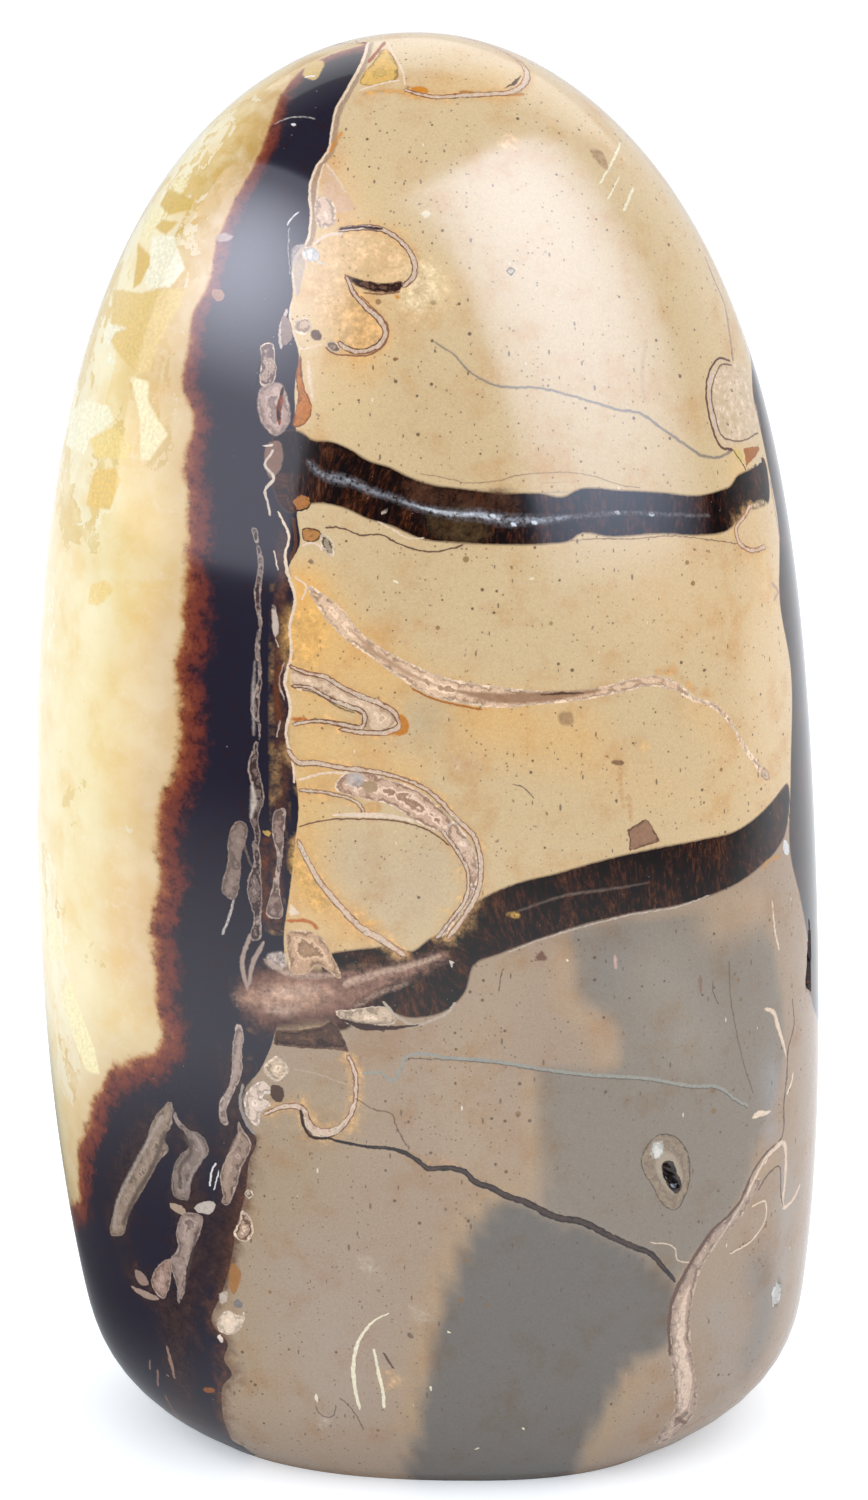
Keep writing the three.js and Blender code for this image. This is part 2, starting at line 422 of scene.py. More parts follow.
# ---------------------------------------------------------------- the yellow calcite
# Coarse calcite, cream to amber, which splits along flat cleavage faces. Paler crystals grow more
# common towards the left edge, and deeper amber ones by the dark band.

CREAM_CALCITE = (0.93, 0.80, 0.46)
DEEP_AMBER = (0.74, 0.50, 0.14)
WHITE_CALCITE = (0.95, 0.90, 0.70)

for points, spread, colour, share in (
    (((30, 8), (25, 13), (20, 20), (17, 26)), 4.5, (0.66, 0.47, 0.11), 0.95),
    (((33, 6.5), (28.5, 10.5), (24.5, 16.5), (22, 21.5)), 2.4, (0.60, 0.40, 0.09), 0.95),
    (((16, 32), (15, 40)), 3.5, (0.78, 0.56, 0.18), 0.9),
    (((9, 43), (8, 60)), 4, (0.96, 0.86, 0.56), 0.7),
    (((13, 46), (14, 52), (14, 64), (13, 78)), 4, (0.95, 0.71, 0.29), 0.8),
    (((13, 67), (12.6, 76)), 3, (0.99, 0.80, 0.47), 0.75),
    (((16.5, 62), (16, 70), (15, 80)), 2.2, (0.88, 0.68, 0.41), 0.7),
    (((13, 88), (13, 96)), 4, (0.93, 0.66, 0.32), 0.8),
    (((6, 90), (7, 104)), 3, (0.98, 0.84, 0.50), 0.8),
):
    tone("calcite", points, spread, colour, share)
tone("calcite", ((-110, 40), (-120, 70), (-130, 100)), 14, (0.88, 0.68, 0.32), 0.7, place=round_at)
tone("calcite", ((-140, 50), (-145, 80)), 7, (0.78, 0.56, 0.22), 0.8, place=round_at)

# how likely a crystal is to be white, in the place of red, and to be amber, in the place of green
for points, spread, colour, share in (
    (((22, 14), (17, 20), (13, 27), (10, 35), (8, 44), (8, 50)), 4.5, (0.50, 0.45, 0.0), 1.0),
    (((28, 9), (24, 14), (21, 20), (19, 26)), 3.0, (0.06, 0.75, 0.0), 0.9),
    (((33, 6.5), (28.5, 10.5), (24.5, 16.5), (22, 21.5)), 2.2, (0.0, 0.55, 0.0), 1.0),
    (((16, 33), (15, 44)), 2.5, (0.15, 0.5, 0.0), 0.8),
    (((5, 88), (6, 98), (7, 108)), 2.5, (0.6, 0.3, 0.0), 0.9),
):
    tone("crystals", points, spread, colour, share)
tone("crystals", ((-100, 120), (-110, 100), (-120, 60)), 12, (0.26, 0.30, 0.0), 0.9, place=round_at)

for outline, colour in (
    (((15.2, 23.7), (17.4, 23.6), (18.5, 26.9), (17, 28.7), (14.6, 28.9), (14.6, 26.6), (15, 25)),
     WHITE_CALCITE),
    (((16.9, 18), (18.7, 18), (18.3, 19.3), (17.4, 18.8)), (0.9, 0.78, 0.45)),
    (((15.1, 20.2), (16.4, 21.3), (15.6, 22.8), (14.5, 24.4), (13.9, 23.9)), (0.93, 0.83, 0.5)),
    (((16.8, 18.9), (19.5, 20), (19, 21), (17, 21.5), (16, 20.5)), (0.70, 0.48, 0.12)),
    (((15.5, 22.8), (16.2, 22), (17.8, 22.2), (16.6, 23.5)), DEEP_AMBER),
    (((13.8, 24.3), (15, 25.5), (15, 26.4), (14.1, 28.3), (13.3, 28.9), (13.7, 26)), DEEP_AMBER),
    (((11.3, 29), (14, 29.3), (18.5, 28.8), (18, 30.5), (16, 34), (15, 37), (13.6, 37.5), (11, 34),
      (11.2, 31)), (0.82, 0.60, 0.24)),
    (((10.8, 32.3), (12.7, 32.8), (11.5, 33.3), (10.6, 35), (10.3, 33.5)), WHITE_CALCITE),
    (((10.4, 36.6), (11, 35.2), (11.5, 36.3)), WHITE_CALCITE),
    (((12.8, 37.6), (14.9, 38.2), (14.8, 40), (16.7, 43.5), (15, 46), (14, 46), (14, 42), (13.3, 38.5)),
     (0.95, 0.84, 0.52)),
    (((7.3, 41), (8.4, 40), (10.9, 40.6), (11.4, 42.1), (8.9, 44), (8.5, 45.4), (6.6, 44.5)),
     (0.98, 0.93, 0.68)),
    (((9, 44), (11.3, 42.6), (13.2, 44.5), (12.8, 45.9), (9.6, 45.7)), (0.93, 0.72, 0.30)),
    (((9.4, 47.1), (11.5, 46.8), (12.1, 48), (11, 51), (8.6, 50.6)), (0.89, 0.62, 0.22)),
    (((9, 58.5), (10.5, 58), (11.5, 59), (10, 60.5), (8.8, 60.4)), (0.92, 0.70, 0.30)),
    (((4.6, 90), (5.9, 92.5), (6.3, 96), (5, 96)), (0.98, 0.87, 0.52)),
    (((7, 98), (9.5, 105), (10, 107.5), (8.6, 107), (6, 99.5)), (0.99, 0.88, 0.52)),
):
    patch(outline, colour, soft=0.2, veil=0.93, bent=False)
# nicks in the wall where a crystal of the one has been caught in the other
patch(((21.2, 29), (22, 28.9), (22.5, 29.7), (21.6, 30.1)), (0.35, 0.17, 0.09))
patch(((21.6, 23.6), (22.4, 23.3), (23.3, 23.7), (22, 24.2)), (0.42, 0.30, 0.27), soft=0.12)

# ---------------------------------------------------------------- the dark band's own ribbons
# Where the dark calcite meets the limestone it holds split-off ribbons of wall rock: grey-brown
# slivers with pale edges, which wander down the band and braid at its foot.

CREAM = (0.87, 0.68, 0.52)
BLUSH = (0.87, 0.73, 0.63)
GREY_RIBBON = (0.27, 0.195, 0.145)
DARK_BROWN = (0.045, 0.017, 0.013)
RED_BROWN = (0.16, 0.05, 0.02)
RUST = (0.51, 0.114, 0.013)
ORANGE = (0.68, 0.26, 0.032)
GOLD = (0.72, 0.42, 0.10)
BLACK = (0.012, 0.008, 0.009)
WHITE = (0.82, 0.80, 0.78)

# the pale line along wall B, and the taupe strip beside it, above the first vein
vein(((37.2, 4.3), (36.5, 6.3), (35.1, 8.9), (33.8, 11.3), (33.5, 12.8), (33.2, 14.9), (31.9, 16.8),
      (31.4, 18.3), (31.4, 22), (31.1, 24.1), (29.8, 25.9)), (0.5, 0.6, 0.7, 0.6, 0.4), (0.36, 0.24, 0.17),
     soft=0.12, veil=0.8)
vein(((36.9, 4.2), (36.2, 6.3), (34.8, 8.9), (33.5, 11.3), (33.2, 12.8), (32.9, 14.9), (31.6, 16.8),
      (31.05, 18.3), (31.1, 22), (30.6, 24.4), (29.6, 25.8), (29.3, 27.5), (29.6, 29.3)),
     (0.3, 0.2, 0.25, 0.15), CREAM)
vein(((32.4, 16.4), (31.8, 18.5), (31.7, 20), (31.5, 21.2)), 0.16, CREAM)
vein(((29.2, 30.2), (29, 31.2), (29.1, 32.6), (29.5, 33.6), (30, 35)), 0.18, CREAM, veil=0.7)
vein(((29.3, 51.8), (29.5, 53.2), (29.5, 54.6), (29, 56)), 0.35, (0.12, 0.05, 0.03))
vein(((27.8, 51.2), (28.9, 53.8), (28.5, 55.5), (28.7, 57), (29.5, 60), (29.0, 62.5), (29.1, 65.5),
      (28.5, 68.2), (29.05, 70.6), (28.6, 73.5), (29.3, 76.2), (29.4, 78.3)), (0.2, 0.3, 0.24, 0.3, 0.2),
     CREAM)

# the upper band, down to the first vein
vein(((28.7, 22.5), (29, 22), (29.9, 21.2)), 0.15, WHITE, veil=0.8)
vein(((28.9, 22.8), (28.85, 24), (28.9, 26), (29, 27.5)), 0.1, (0.5, 0.45, 0.42), veil=0.7)
patch(((29.5, 24.6), (30.5, 24.4), (30.6, 26), (30.2, 28), (29.7, 30), (29.4, 28)), (0.44, 0.36, 0.32),
      soft=0.1, veil=0.7)
vein(((28.7, 31), (28.0, 33), (28.1, 34.8)), 0.28, (0.62, 0.50, 0.44))
patch(((28.3, 31.5), (28.9, 32), (29.1, 34), (28.4, 34.6), (28.1, 33)), (0.30, 0.20, 0.16))
patch(((26.3, 34.4), (27.2, 34.3), (27.5, 36), (27.2, 38.4), (26.2, 38.6), (26, 36.5)), (0.20, 0.11, 0.09),
      CREAM, 0.12)
vein(((26.1, 35), (25.9, 37), (25.55, 38.8)), (0.1, 0.3, 0.1), BLACK)
patch(((26.3, 38.6), (28, 38.3), (28.8, 40), (28.8, 42.6), (27.6, 43.6), (26.5, 42.8)), (0.42, 0.29, 0.25),
      (0.55, 0.40, 0.34), 0.15, soft=0.12)
vein(((28.3, 38.7), (28.05, 40), (27.9, 41), (27.95, 42.4)), (0.3, 0.62, 0.3), BLACK, RUST, 0.08)
vein(((25.8, 29), (26.5, 29), (27.7, 29.8)), 0.1, BLACK)
vein(((22.8, 33), (23.9, 32.1), (25.3, 31.9), (26, 31.8)), 0.1, BLACK)
patch(((26.9, 44.3), (27.8, 44.1), (28, 47), (27.2, 47.8)), (0.25, 0.14, 0.10), soft=0.1)
vein(((26.3, 44.6), (27.3, 44.5)), 0.18, BLUSH)
vein(((27.3, 45), (26.5, 46.5), (27.4, 47.8), (26.5, 49), (26.9, 50.8), (27, 51.6)), (0.2, 0.3, 0.2),
     (0.70, 0.58, 0.48))

# the main ribbon, from the first vein to the second, with a brown glow between it and the wall
vein(((28.3, 53), (28.3, 60), (27.9, 68), (28.2, 76), (27.8, 84), (27.6, 93)),
     (0.6, 1.5, 1.2, 1.6, 1.0, 1.2), (0.115, 0.050, 0.032), soft=0.4, veil=0.7)
RIBBON_LEFT = (
    (25.3, 52.7), (25.6, 54.5), (25.8, 56), (25.6, 58), (25.4, 59), (25.6, 61), (25.8, 62), (25.6, 64),
    (25.5, 65), (25.8, 68), (25.2, 70), (25.1, 71), (25.9, 73), (25.2, 75), (24.8, 76.3), (25.4, 80),
    (25, 82), (25.5, 83.7), (25.2, 84.5), (25.4, 86), (24.8, 88), (24.7, 89), (25.4, 92), (25, 94),
)
RIBBON_RIGHT = (
    (25.5, 52.7), (25.9, 54.5), (26.4, 56), (26.2, 58), (26.1, 59), (26.1, 61), (26.2, 62), (26, 64),
    (26, 65), (26.2, 68), (26, 70), (25.9, 71), (26.1, 73), (25.8, 75), (25.8, 76.3), (26.4, 80), (25.8, 82),
    (26.1, 83.7), (25.9, 84.5), (26.1, 86), (26.1, 88), (26.2, 89), (26.1, 92), (25.9, 94),
)
patch(RIBBON_LEFT + RIBBON_RIGHT[::-1], (0.085, 0.053, 0.048), (0.40, 0.30, 0.26), 0.15)
patch(((27.3, 60.3), (27.8, 62), (27.9, 63), (27.5, 63.8), (27.2, 62)), (0.62, 0.50, 0.42), soft=0.08)
vein(((27.5, 63.8), (27.9, 64.8)), 0.12, (0.6, 0.5, 0.4))
vein(((27.4, 55), (27.6, 56), (27.8, 57)), 0.12, CREAM)
vein(((28.4, 66.2), (27.9, 68.3), (28.4, 70)), 0.15, (0.55, 0.42, 0.35))
vein(((28, 72), (27.7, 73.7)), 0.14, (0.5, 0.38, 0.32))
vein(((28, 66.5), (27.6, 69), (28, 72)), 0.5, RED_BROWN, soft=0.2, veil=0.7)
vein(((26.6, 84), (26.4, 88), (26.6, 92)), 0.7, RED_BROWN, soft=0.3, veil=0.7)
SECOND_LEFT = ((27.6, 81), (27.2, 82.8), (27.7, 85.8), (27.2, 88.8), (26.9, 91.8))
SECOND_RIGHT = ((28.3, 80.8), (28.4, 83.3), (28.3, 85.2), (27.9, 88.2), (27.9, 91.9))
patch(SECOND_LEFT + SECOND_RIGHT[::-1], (0.24, 0.155, 0.13), (0.50, 0.38, 0.32), 0.12)
patch(((26.2, 83), (27.2, 83.1), (26.9, 83.7), (26.4, 83.5)), (0.55, 0.34, 0.10), bent=False)
vein(((24.2, 83), (24.9, 86), (25.3, 86.8)), 0.25, (0.2, 0.14, 0.11), soft=0.1, veil=0.7)
patch(((23.2, 82.6), (23.9, 82), (24.4, 82.2), (24.1, 86), (24, 88), (23.3, 90), (22.4, 89.5), (22.8, 86),
       (22.8, 84)), (0.24, 0.17, 0.14), (0.32, 0.23, 0.20), 0.12)
vein(((23.4, 90), (23, 91.5), (22.2, 93.4)), 0.25, (0.62, 0.55, 0.50), veil=0.8)
vein(((25, 93.5), (24.2, 96.5), (24.8, 99)), (0.35, 0.5, 0.3), (0.42, 0.31, 0.26), soft=0.1)
vein(((26.4, 94.2), (25.3, 96.3), (24.9, 98.5)), (0.35, 0.5, 0.3), (0.42, 0.31, 0.26), soft=0.1)
patch(((26.7, 95.6), (28.6, 95.4), (28.4, 96.8), (26.8, 96.7)), (0.62, 0.50, 0.44), soft=0.2, veil=0.7)

# the braid at the foot, in a brown cloud, and the brown edge that the band has down there
for cloud, wide, soft in (
    (((16, 112), (13, 117), (11.5, 123)), 3.2, 1.2), (((19, 113), (19, 117), (18, 121)), 2.6, 1.0),
    (((19.5, 120), (19, 126), (18, 133)), 3.6, 1.4),
    (((23.6, 106), (23.4, 113), (22.6, 121), (21.6, 128)), 2.4, 1.0),
    (((13, 127), (16, 130), (18, 138), (19, 143)), 3.0, 1.4),
):
    vein(cloud, wide, (0.050, 0.027, 0.026), soft=soft, veil=0.8)
vein(WALL_B_FRONT[41:], (1.0, 1.6, 1.0, 1.6, 1.0), (0.12, 0.050, 0.03), soft=0.5, veil=0.6)
patch(((17.2, 110.2), (15.2, 112.2), (14.7, 114), (13.8, 116), (12.7, 118), (11.5, 120.8), (11.1, 123.5),
       (12.2, 123.5), (12.9, 121.3), (14, 119.5), (15.2, 117.4), (16, 116), (16.9, 114.8), (16.4, 114),
       (17.1, 112.6)), GREY_RIBBON, (0.34, 0.26, 0.21), 0.16)
patch(((17.2, 110.2), (17.9, 112), (19, 113), (20, 113.4), (20.9, 115), (20, 116.4), (19.1, 118),
       (18.7, 120), (17.6, 119.8), (17.3, 117), (18, 115.5), (19, 114.6), (18.4, 113.2), (17.5, 112.2)),
      (0.21, 0.155, 0.13), (0.32, 0.25, 0.22), 0.16)
patch(((16.9, 120.4), (18.5, 120.9), (18.6, 121.4), (17.2, 120.9)), (0.45, 0.33, 0.24))
patch(((19.4, 120.9), (20.2, 120.2), (21.5, 120.3), (21.2, 121.3), (20.4, 121.4)), (0.58, 0.50, 0.44))
patch(((23.9, 102.3), (23.3, 104.4), (23.2, 106.5), (23, 108.4), (21.9, 110.5), (22.4, 112.5), (22.8, 112.5),
       (22.6, 111.4), (23.4, 109.2), (24.2, 107.2), (24.2, 105), (24.3, 103)), (0.30, 0.21, 0.18),
      (0.48, 0.38, 0.33), 0.15)
patch(((23.8, 112), (23.8, 114), (22.6, 115.8), (22, 117.8), (22.3, 119.6), (22.1, 120.4), (22.7, 120.5),
       (23.5, 119), (24.1, 117), (25, 114), (24.3, 113)), (0.26, 0.17, 0.13), (0.50, 0.38, 0.31), 0.15)
vein(((24.3, 108.5), (24, 110.3), (24.5, 112), (25.4, 113.4)), 0.3, (0.33, 0.29, 0.27))
vein(((21.6, 116.3), (21.2, 117), (21, 118.6)), 0.18, WHITE)
vein(((21.9, 117), (21.4, 119)), 0.12, WHITE)
patch(((24.9, 108.9), (26.3, 108.1), (27.3, 109.2), (26, 109.6), (27.2, 110.4), (26.1, 111.2), (25.8, 112.7),
       (24.9, 111.9), (24.4, 110)), (0.66, 0.50, 0.40), BLUSH, 0.18)
patch(((27.2, 108.5), (28.2, 108.7), (28.1, 110.2), (27.3, 110)), (0.09, 0.045, 0.03))
patch(((18.5, 121.3), (20.2, 121.6), (19.9, 123.6), (19.1, 125.3), (18.6, 127.2), (18.4, 129.3),
       (17.8, 130.5), (17.7, 128.7), (17, 126), (17.8, 124.8), (17.6, 123.2)), (0.30, 0.21, 0.18),
      (0.42, 0.33, 0.28), 0.15)
patch(((17, 125.9), (15.6, 126.8), (15.2, 128.6), (16.2, 129.9), (17, 128.4)), (0.30, 0.19, 0.15),
      (0.50, 0.36, 0.30), 0.15)
patch(((13.5, 127), (14.4, 127.4), (14.9, 128.3), (14, 128.5)), (0.34, 0.23, 0.19))
patch(((12.9, 128.6), (15.2, 129.4), (16, 129.9), (14.8, 129.9)), (0.40, 0.28, 0.22))
# painted highlights along one side of each ribbon and painted shade along the other, so that they look
# rounded
for side, wide, painted_light_and_shade in (
    (((16.2, 111.7), (14.8, 114.2), (13.1, 117.3), (11.6, 120.9), (11.4, 122.8)), 0.4, (0.42, 0.34, 0.29)),
    (((16.5, 113.2), (15.4, 116.4), (13.6, 119.5), (12.3, 122.4)), 0.5, (0.12, 0.085, 0.07)),
    (((19.3, 113.3), (20.3, 115), (19.3, 117.2), (18.6, 119)), 0.3, (0.38, 0.31, 0.28)),
    (((18.5, 113.6), (19.1, 115), (18, 116.8), (18, 118.8)), 0.4, (0.10, 0.075, 0.065)),
    (((24.0, 103.4), (23.7, 106.2), (23, 109), (22.2, 111)), 0.35, (0.46, 0.35, 0.29)),
    (((24, 113.4), (22.9, 116.2), (22.5, 119)), 0.5, (0.44, 0.32, 0.25)),
    (((25.2, 78.4), (25.35, 80), (25.1, 81.8)), (0.2, 0.6, 0.2), (0.66, 0.56, 0.48)),
    (((25.5, 66), (25.3, 70), (25.4, 73.5)), (0.1, 0.3, 0.1), (0.50, 0.42, 0.38)),
    (((19.2, 122.4), (18.8, 125), (18.1, 128.2)), (0.2, 0.5, 0.2), (0.44, 0.33, 0.27)),
    (((19.8, 122.6), (19.2, 125.4), (18.4, 129)), (0.1, 0.3, 0.1), (0.09, 0.06, 0.055)),
):
    vein(side, wide, painted_light_and_shade, soft=0.2, veil=0.85)
vein(((16.7, 134.6), (17.2, 136.7), (17.5, 137.9)), (0.2, 0.5, 0.2), (0.32, 0.20, 0.15))
vein(((15.8, 137), (15.8, 138.6)), 0.3, (0.22, 0.14, 0.11))
vein(((15, 136), (15, 137)), 0.2, (0.22, 0.14, 0.11))
vein(((16.5, 139.5), (17.5, 141.3), (18.1, 142.2)), 0.4, (0.16, 0.08, 0.05))
patch(((22.3, 131.3), (22.9, 131), (23.9, 131.6), (24.5, 130.9), (24.1, 132.8), (23, 133.5), (21.8, 133)),
      (0.80, 0.64, 0.50), CREAM, 0.12)
patch(((21.7, 133.6), (22.3, 133.5), (22.2, 134.3)), BLUSH)
patch(((24.4, 119.4), (24.9, 118.9), (25.4, 119.4), (24.9, 119.9)), (0.30, 0.22, 0.17), CREAM, 0.13)
patch(((24.2, 121), (25.1, 121.9), (25.2, 123.6), (24.6, 124.2), (23.4, 123.6), (24, 121.9)),
      (0.25, 0.14, 0.09), CREAM, 0.2)
patch(((23.4, 126.3), (24, 127), (23.2, 129.5), (22.9, 128)), (0.40, 0.19, 0.07), soft=0.12)
patch(((23.3, 130.3), (23.9, 129.9), (24.3, 130.6), (23.7, 130.9)), (0.24, 0.22, 0.21))
patch(((22, 129.4), (22.7, 129.1), (22.6, 130.2), (22.1, 130.4)), (0.60, 0.50, 0.42), soft=0.12)
vein(((20.5, 139), (21.3, 139)), 0.6, (0.30, 0.10, 0.03), soft=0.15)

# ---------------------------------------------------------------- the two dark veins
# Two wide cracks healed by fibrous calcite: nearly black columns that grew in from both walls and met
# in a ragged pale seam. Both leave the band, cross the front and run on round the right flank.

UPPER_TOP = (
    (28, 43.3), (30, 43.2), (31.2, 44.05), (33, 44.2), (35, 45), (36.8, 46.1), (39, 46.8), (41, 47.8),
    (43, 48.5), (46, 48.9), (50, 49.4), (54, 49.4), (56.5, 49.7), (57.6, 49.1), (62, 49.1), (66, 49.3),
    (70, 49.6), (72, 49.1), (73, 48.7), (73.7, 47.7), (75, 47), (76.4, 45.9),
)
UPPER_BOTTOM = (
    (29.2, 51.2), (31.2, 50.3), (34, 50.6), (36.8, 51.8), (39, 52.5), (42.5, 53.9), (46, 54.2), (50, 54.4),
    (55, 54.3), (57, 54.0), (57.8, 53.4), (61, 53.6), (66, 53.3), (70, 53.45), (72.7, 53), (73.9, 52),
    (75, 51.1), (76.9, 49.95),
)
LOWER_TOP = (
    (33.2, 95.4), (35, 95.1), (38, 94.75), (39.2, 94.6), (41, 95.2), (43.4, 93.7), (45.4, 93.2),
    (47.3, 90.5), (49, 89.5), (52, 88.3), (55.7, 87.4), (60, 86.15), (65, 85), (70.2, 84), (73.7, 83.1),
    (75.6, 81.8), (77.3, 80.1), (78.7, 78.4),
)
LOWER_BOTTOM = (
    (34, 103), (38, 101), (41.2, 101.7), (44.9, 100.8), (46.4, 99.2), (47.4, 96.4), (50, 95.3), (54, 93.8),
    (58, 92.5), (63, 91.3), (68, 90.4), (72, 89.1), (74, 88.1), (76, 86.6), (77.6, 85), (78.4, 83.6),
)
FLANK_FRONT = (
    (73.7, 31), (74.6, 34), (75.4, 40), (76.3, 44), (77.1, 48), (77.8, 52), (78, 60), (79.1, 67), (79.1, 77),
    (79.1, 85.5), (80.1, 90), (80.9, 95), (81.1, 99.5),
)
FLANK_BACK = ((96, 42), (100, 49), (98, 57), (103, 65), (101, 74), (106, 83), (104, 92), (108, 100),
              (105, 108), (101, 115))
UPPER_TOP_BACK = ((104, 104), (120, 101), (140, 98), (160, 96), (178, 93))
UPPER_BOTTOM_BACK = ((104, 97), (120, 94.5), (140, 92), (160, 89.5), (178, 87))
LOWER_TOP_BACK = ((102, 70), (118, 66), (138, 60), (158, 55), (184, 52))
LOWER_BOTTOM_BACK = ((102, 63.5), (116, 59.5), (136, 53.5), (156, 49), (184, 45))
SEAM_STEPS = 16


def evenly(corners):
    """The same number of spots along any wall, so that two walls have a middle."""
    run = run_through(corners)
    return run[np.linspace(0, len(run) - 1, SEAM_STEPS).astype(int)]


dark_veins = []
for one, other in (
    (on_front(UPPER_TOP), on_front(UPPER_BOTTOM)),
    (on_front(LOWER_TOP), on_front(LOWER_BOTTOM)),
    (on_front(FLANK_FRONT), round_at(FLANK_BACK[::-1])),
    (round_at(UPPER_TOP_BACK), round_at(UPPER_BOTTOM_BACK)),
    (round_at(LOWER_TOP_BACK), round_at(LOWER_BOTTOM_BACK)),
):
    outline = run_through(np.vstack((one, other[::-1])), closed=True)
    middle = run_through(settled((evenly(one) + evenly(other)) / 2))
    dark_veins.append((outline, middle))

# the upper vein's ragged seam, with painted ice-white glints, and the stains along it
patch(((40, 48.5), (46, 49.2), (52, 49.8), (52, 51), (46, 50.9), (41, 50.3)), (0.075, 0.032, 0.018),
      soft=0.4, veil=0.6)
patch(((42.5, 52), (49, 52.3), (49, 53.2), (43, 53)), (0.085, 0.052, 0.022), soft=0.4, veil=0.6)
SEAM = ((30.9, 46.2), (31.7, 47.1), (32.3, 47.5), (33.8, 47.9), (35.5, 48.3), (36.8, 49), (38.5, 49.5),
        (39.9, 50), (41.2, 50.5), (43.5, 51.1), (45.3, 51.4), (48, 51.5), (50, 51.9), (51, 52.1), (52, 52),
        (54, 52), (57, 51.7))
vein(SEAM, (0.7, 1.2, 0.8, 0.8, 0.9, 1.2, 1.4, 1.0, 0.4), (0.13, 0.12, 0.13), soft=0.24, veil=0.55)
vein(SEAM, (0.2, 0.6, 0.35, 0.3, 0.3, 0.6, 0.65, 0.5, 0.15), (0.30, 0.32, 0.36), soft=0.16, veil=0.5)
vein(SEAM[8:13], (0.1, 0.35, 0.4, 0.3), (0.62, 0.66, 0.72), soft=0.12, veil=0.55)
# painted glints: small ice-white highlights on the seam
for spot in ((49.1, 51.5), (51.2, 52.4), (53.3, 52.2), (61.6, 51.2), (65, 51.4)):
    vein((spot, (spot[0] + 0.35, spot[1] + 0.1)), 0.35, (0.75, 0.80, 0.88), soft=0.1)
vein(((57, 51.7), (62, 51.3), (68, 51.5), (71, 51.6)), (0.5, 0.35, 0.3), (0.14, 0.12, 0.12), soft=0.15,
     veil=0.5)
patch(((29.2, 50.2), (30.1, 49.3), (31.1, 49.8), (30.9, 50.8), (29.6, 51.1)), (0.55, 0.22, 0.06), DARK_BROWN,
      0.15)
vein(((57, 54.1), (59, 53.9), (63, 53.9), (67, 53.6), (71, 54), (73.8, 54.4)), 0.12, (0.2, 0.10, 0.06),
     veil=0.7)
vein(((54.2, 49.3), (57, 49.2)), 0.1, (0.5, 0.4, 0.3))

# the junction: the lower vein widens into a bulb at the band and is crusted with pinkish crystals
patch(((24.6, 97.2), (28.5, 96.6), (33, 97.2), (35, 99), (34.6, 101.2), (33.3, 102.4), (30, 103),
       (27, 103.2), (25.2, 102.4)), (0.12, 0.055, 0.042), soft=0.9)
vein(((24.6, 100.0), (28, 99.4), (31, 99.3), (34.5, 99), (37.5, 97.9), (41, 96.9), (44.4, 95.6)),
     (2.6, 4.4, 4.6, 3.4, 2.2, 1.5, 0.6), (0.30, 0.16, 0.115), soft=0.75, veil=0.85)
vein(((24.8, 100), (28, 99.7), (31, 99.5), (33.5, 99.2)), (1.4, 2.8, 2.8, 0.9), (0.50, 0.30, 0.21), soft=0.5,
     veil=0.8)
vein(((26.2, 99.2), (29.3, 99.3), (31.8, 98.9)), (0.4, 1.3, 0.4), (0.64, 0.44, 0.33), soft=0.3, veil=0.65)
vein(((27, 101), (30, 101.2)), (0.4, 0.9, 0.4), (0.66, 0.47, 0.36), soft=0.3, veil=0.7)
vein(((34.5, 98.4), (38, 97.3), (42, 96.3), (44, 95.6)), (0.7, 0.6, 0.4), (0.60, 0.42, 0.31), soft=0.24,
     veil=0.75)
vein(((35, 101), (38, 99.3), (41, 98.3)), (0.3, 0.6, 0.3), (0.34, 0.22, 0.16), soft=0.2, veil=0.6)
vein(((26.5, 96), (28.5, 97.2), (31, 97.6), (33.5, 97.5)), (0.4, 0.7, 0.4), (0.52, 0.37, 0.28), soft=0.2,
     veil=0.7)
patch(((33.5, 101.2), (35, 101), (39, 101), (39.6, 102.2), (38.5, 102.5), (34.2, 102)), (0.50, 0.37, 0.26),
      CREAM, 0.14)
vein(((38.3, 100.2), (39.8, 101.7), (41.3, 102.5), (43, 102.1), (44.8, 101.2), (45.5, 100.3)), 0.28,
     (0.52, 0.42, 0.33))
vein(((34, 101.9), (36, 102.6), (38, 102.8), (42, 102.5)), (0.2, 0.7, 0.35, 0.1), DARK_BROWN)
patch(((27.3, 104.5), (27.5, 103), (30, 103), (32, 102.7), (33.3, 102), (34, 103), (35, 105.3), (34, 105),
       (30, 104.8)), (0.05, 0.022, 0.015), (0.16, 0.08, 0.05), 0.2, bent=False)
patch(((44.8, 96), (45.2, 96.9), (45.5, 96.2)), (0.7, 0.6, 0.5), bent=False)
patch(((50.5, 91.4), (52, 91.3), (51.8, 91.8)), GOLD, soft=0.15, veil=0.6)
vein(((51.7, 91.1), (57.2, 89.4), (61.1, 88.9), (65, 88.2)), (0.15, 0.3, 0.1), (0.16, 0.11, 0.09), soft=0.15,
     veil=0.8)
vein(((50.8, 95.25), (54, 94), (58, 92.75), (63, 91.5), (68, 90.6), (71, 89.5)), 0.14, (0.60, 0.52, 0.45),
     veil=0.75)
vein(((76.2, 86.8), (77, 86), (78, 85.6)), 0.35, (0.55, 0.28, 0.10), soft=0.15)
patch(((78.4, 84), (78.9, 84.6), (78.8, 85.5), (78.3, 85)), (0.72, 0.70, 0.70))

# the open crack, whose black line is painted shade in its hollow, and pink stripes of the flank's own dark
# vein
vein(((80.8, 92), (80.95, 93), (80.9, 94.8)), 0.3, BLACK)
vein(((77, 48), (77.5, 51), (78, 54)), 0.25, (0.42, 0.28, 0.24), veil=0.8)
vein(((77.2, 58.3), (77.8, 59.2), (77.4, 60)), 0.35, (0.45, 0.33, 0.28), veil=0.8)
vein(((77.2, 90), (77.3, 91), (77.5, 93), (77.9, 95)), 0.25, CREAM, veil=0.7)

# ---------------------------------------------------------------- the healed loops by the band
# Thin sheets of brown and cream calcite curl out of the band into the limestone: two lobes above the
# first vein, one below it, and the big oval that hangs over the junction.

STAIN = (0.74, 0.43, 0.17)


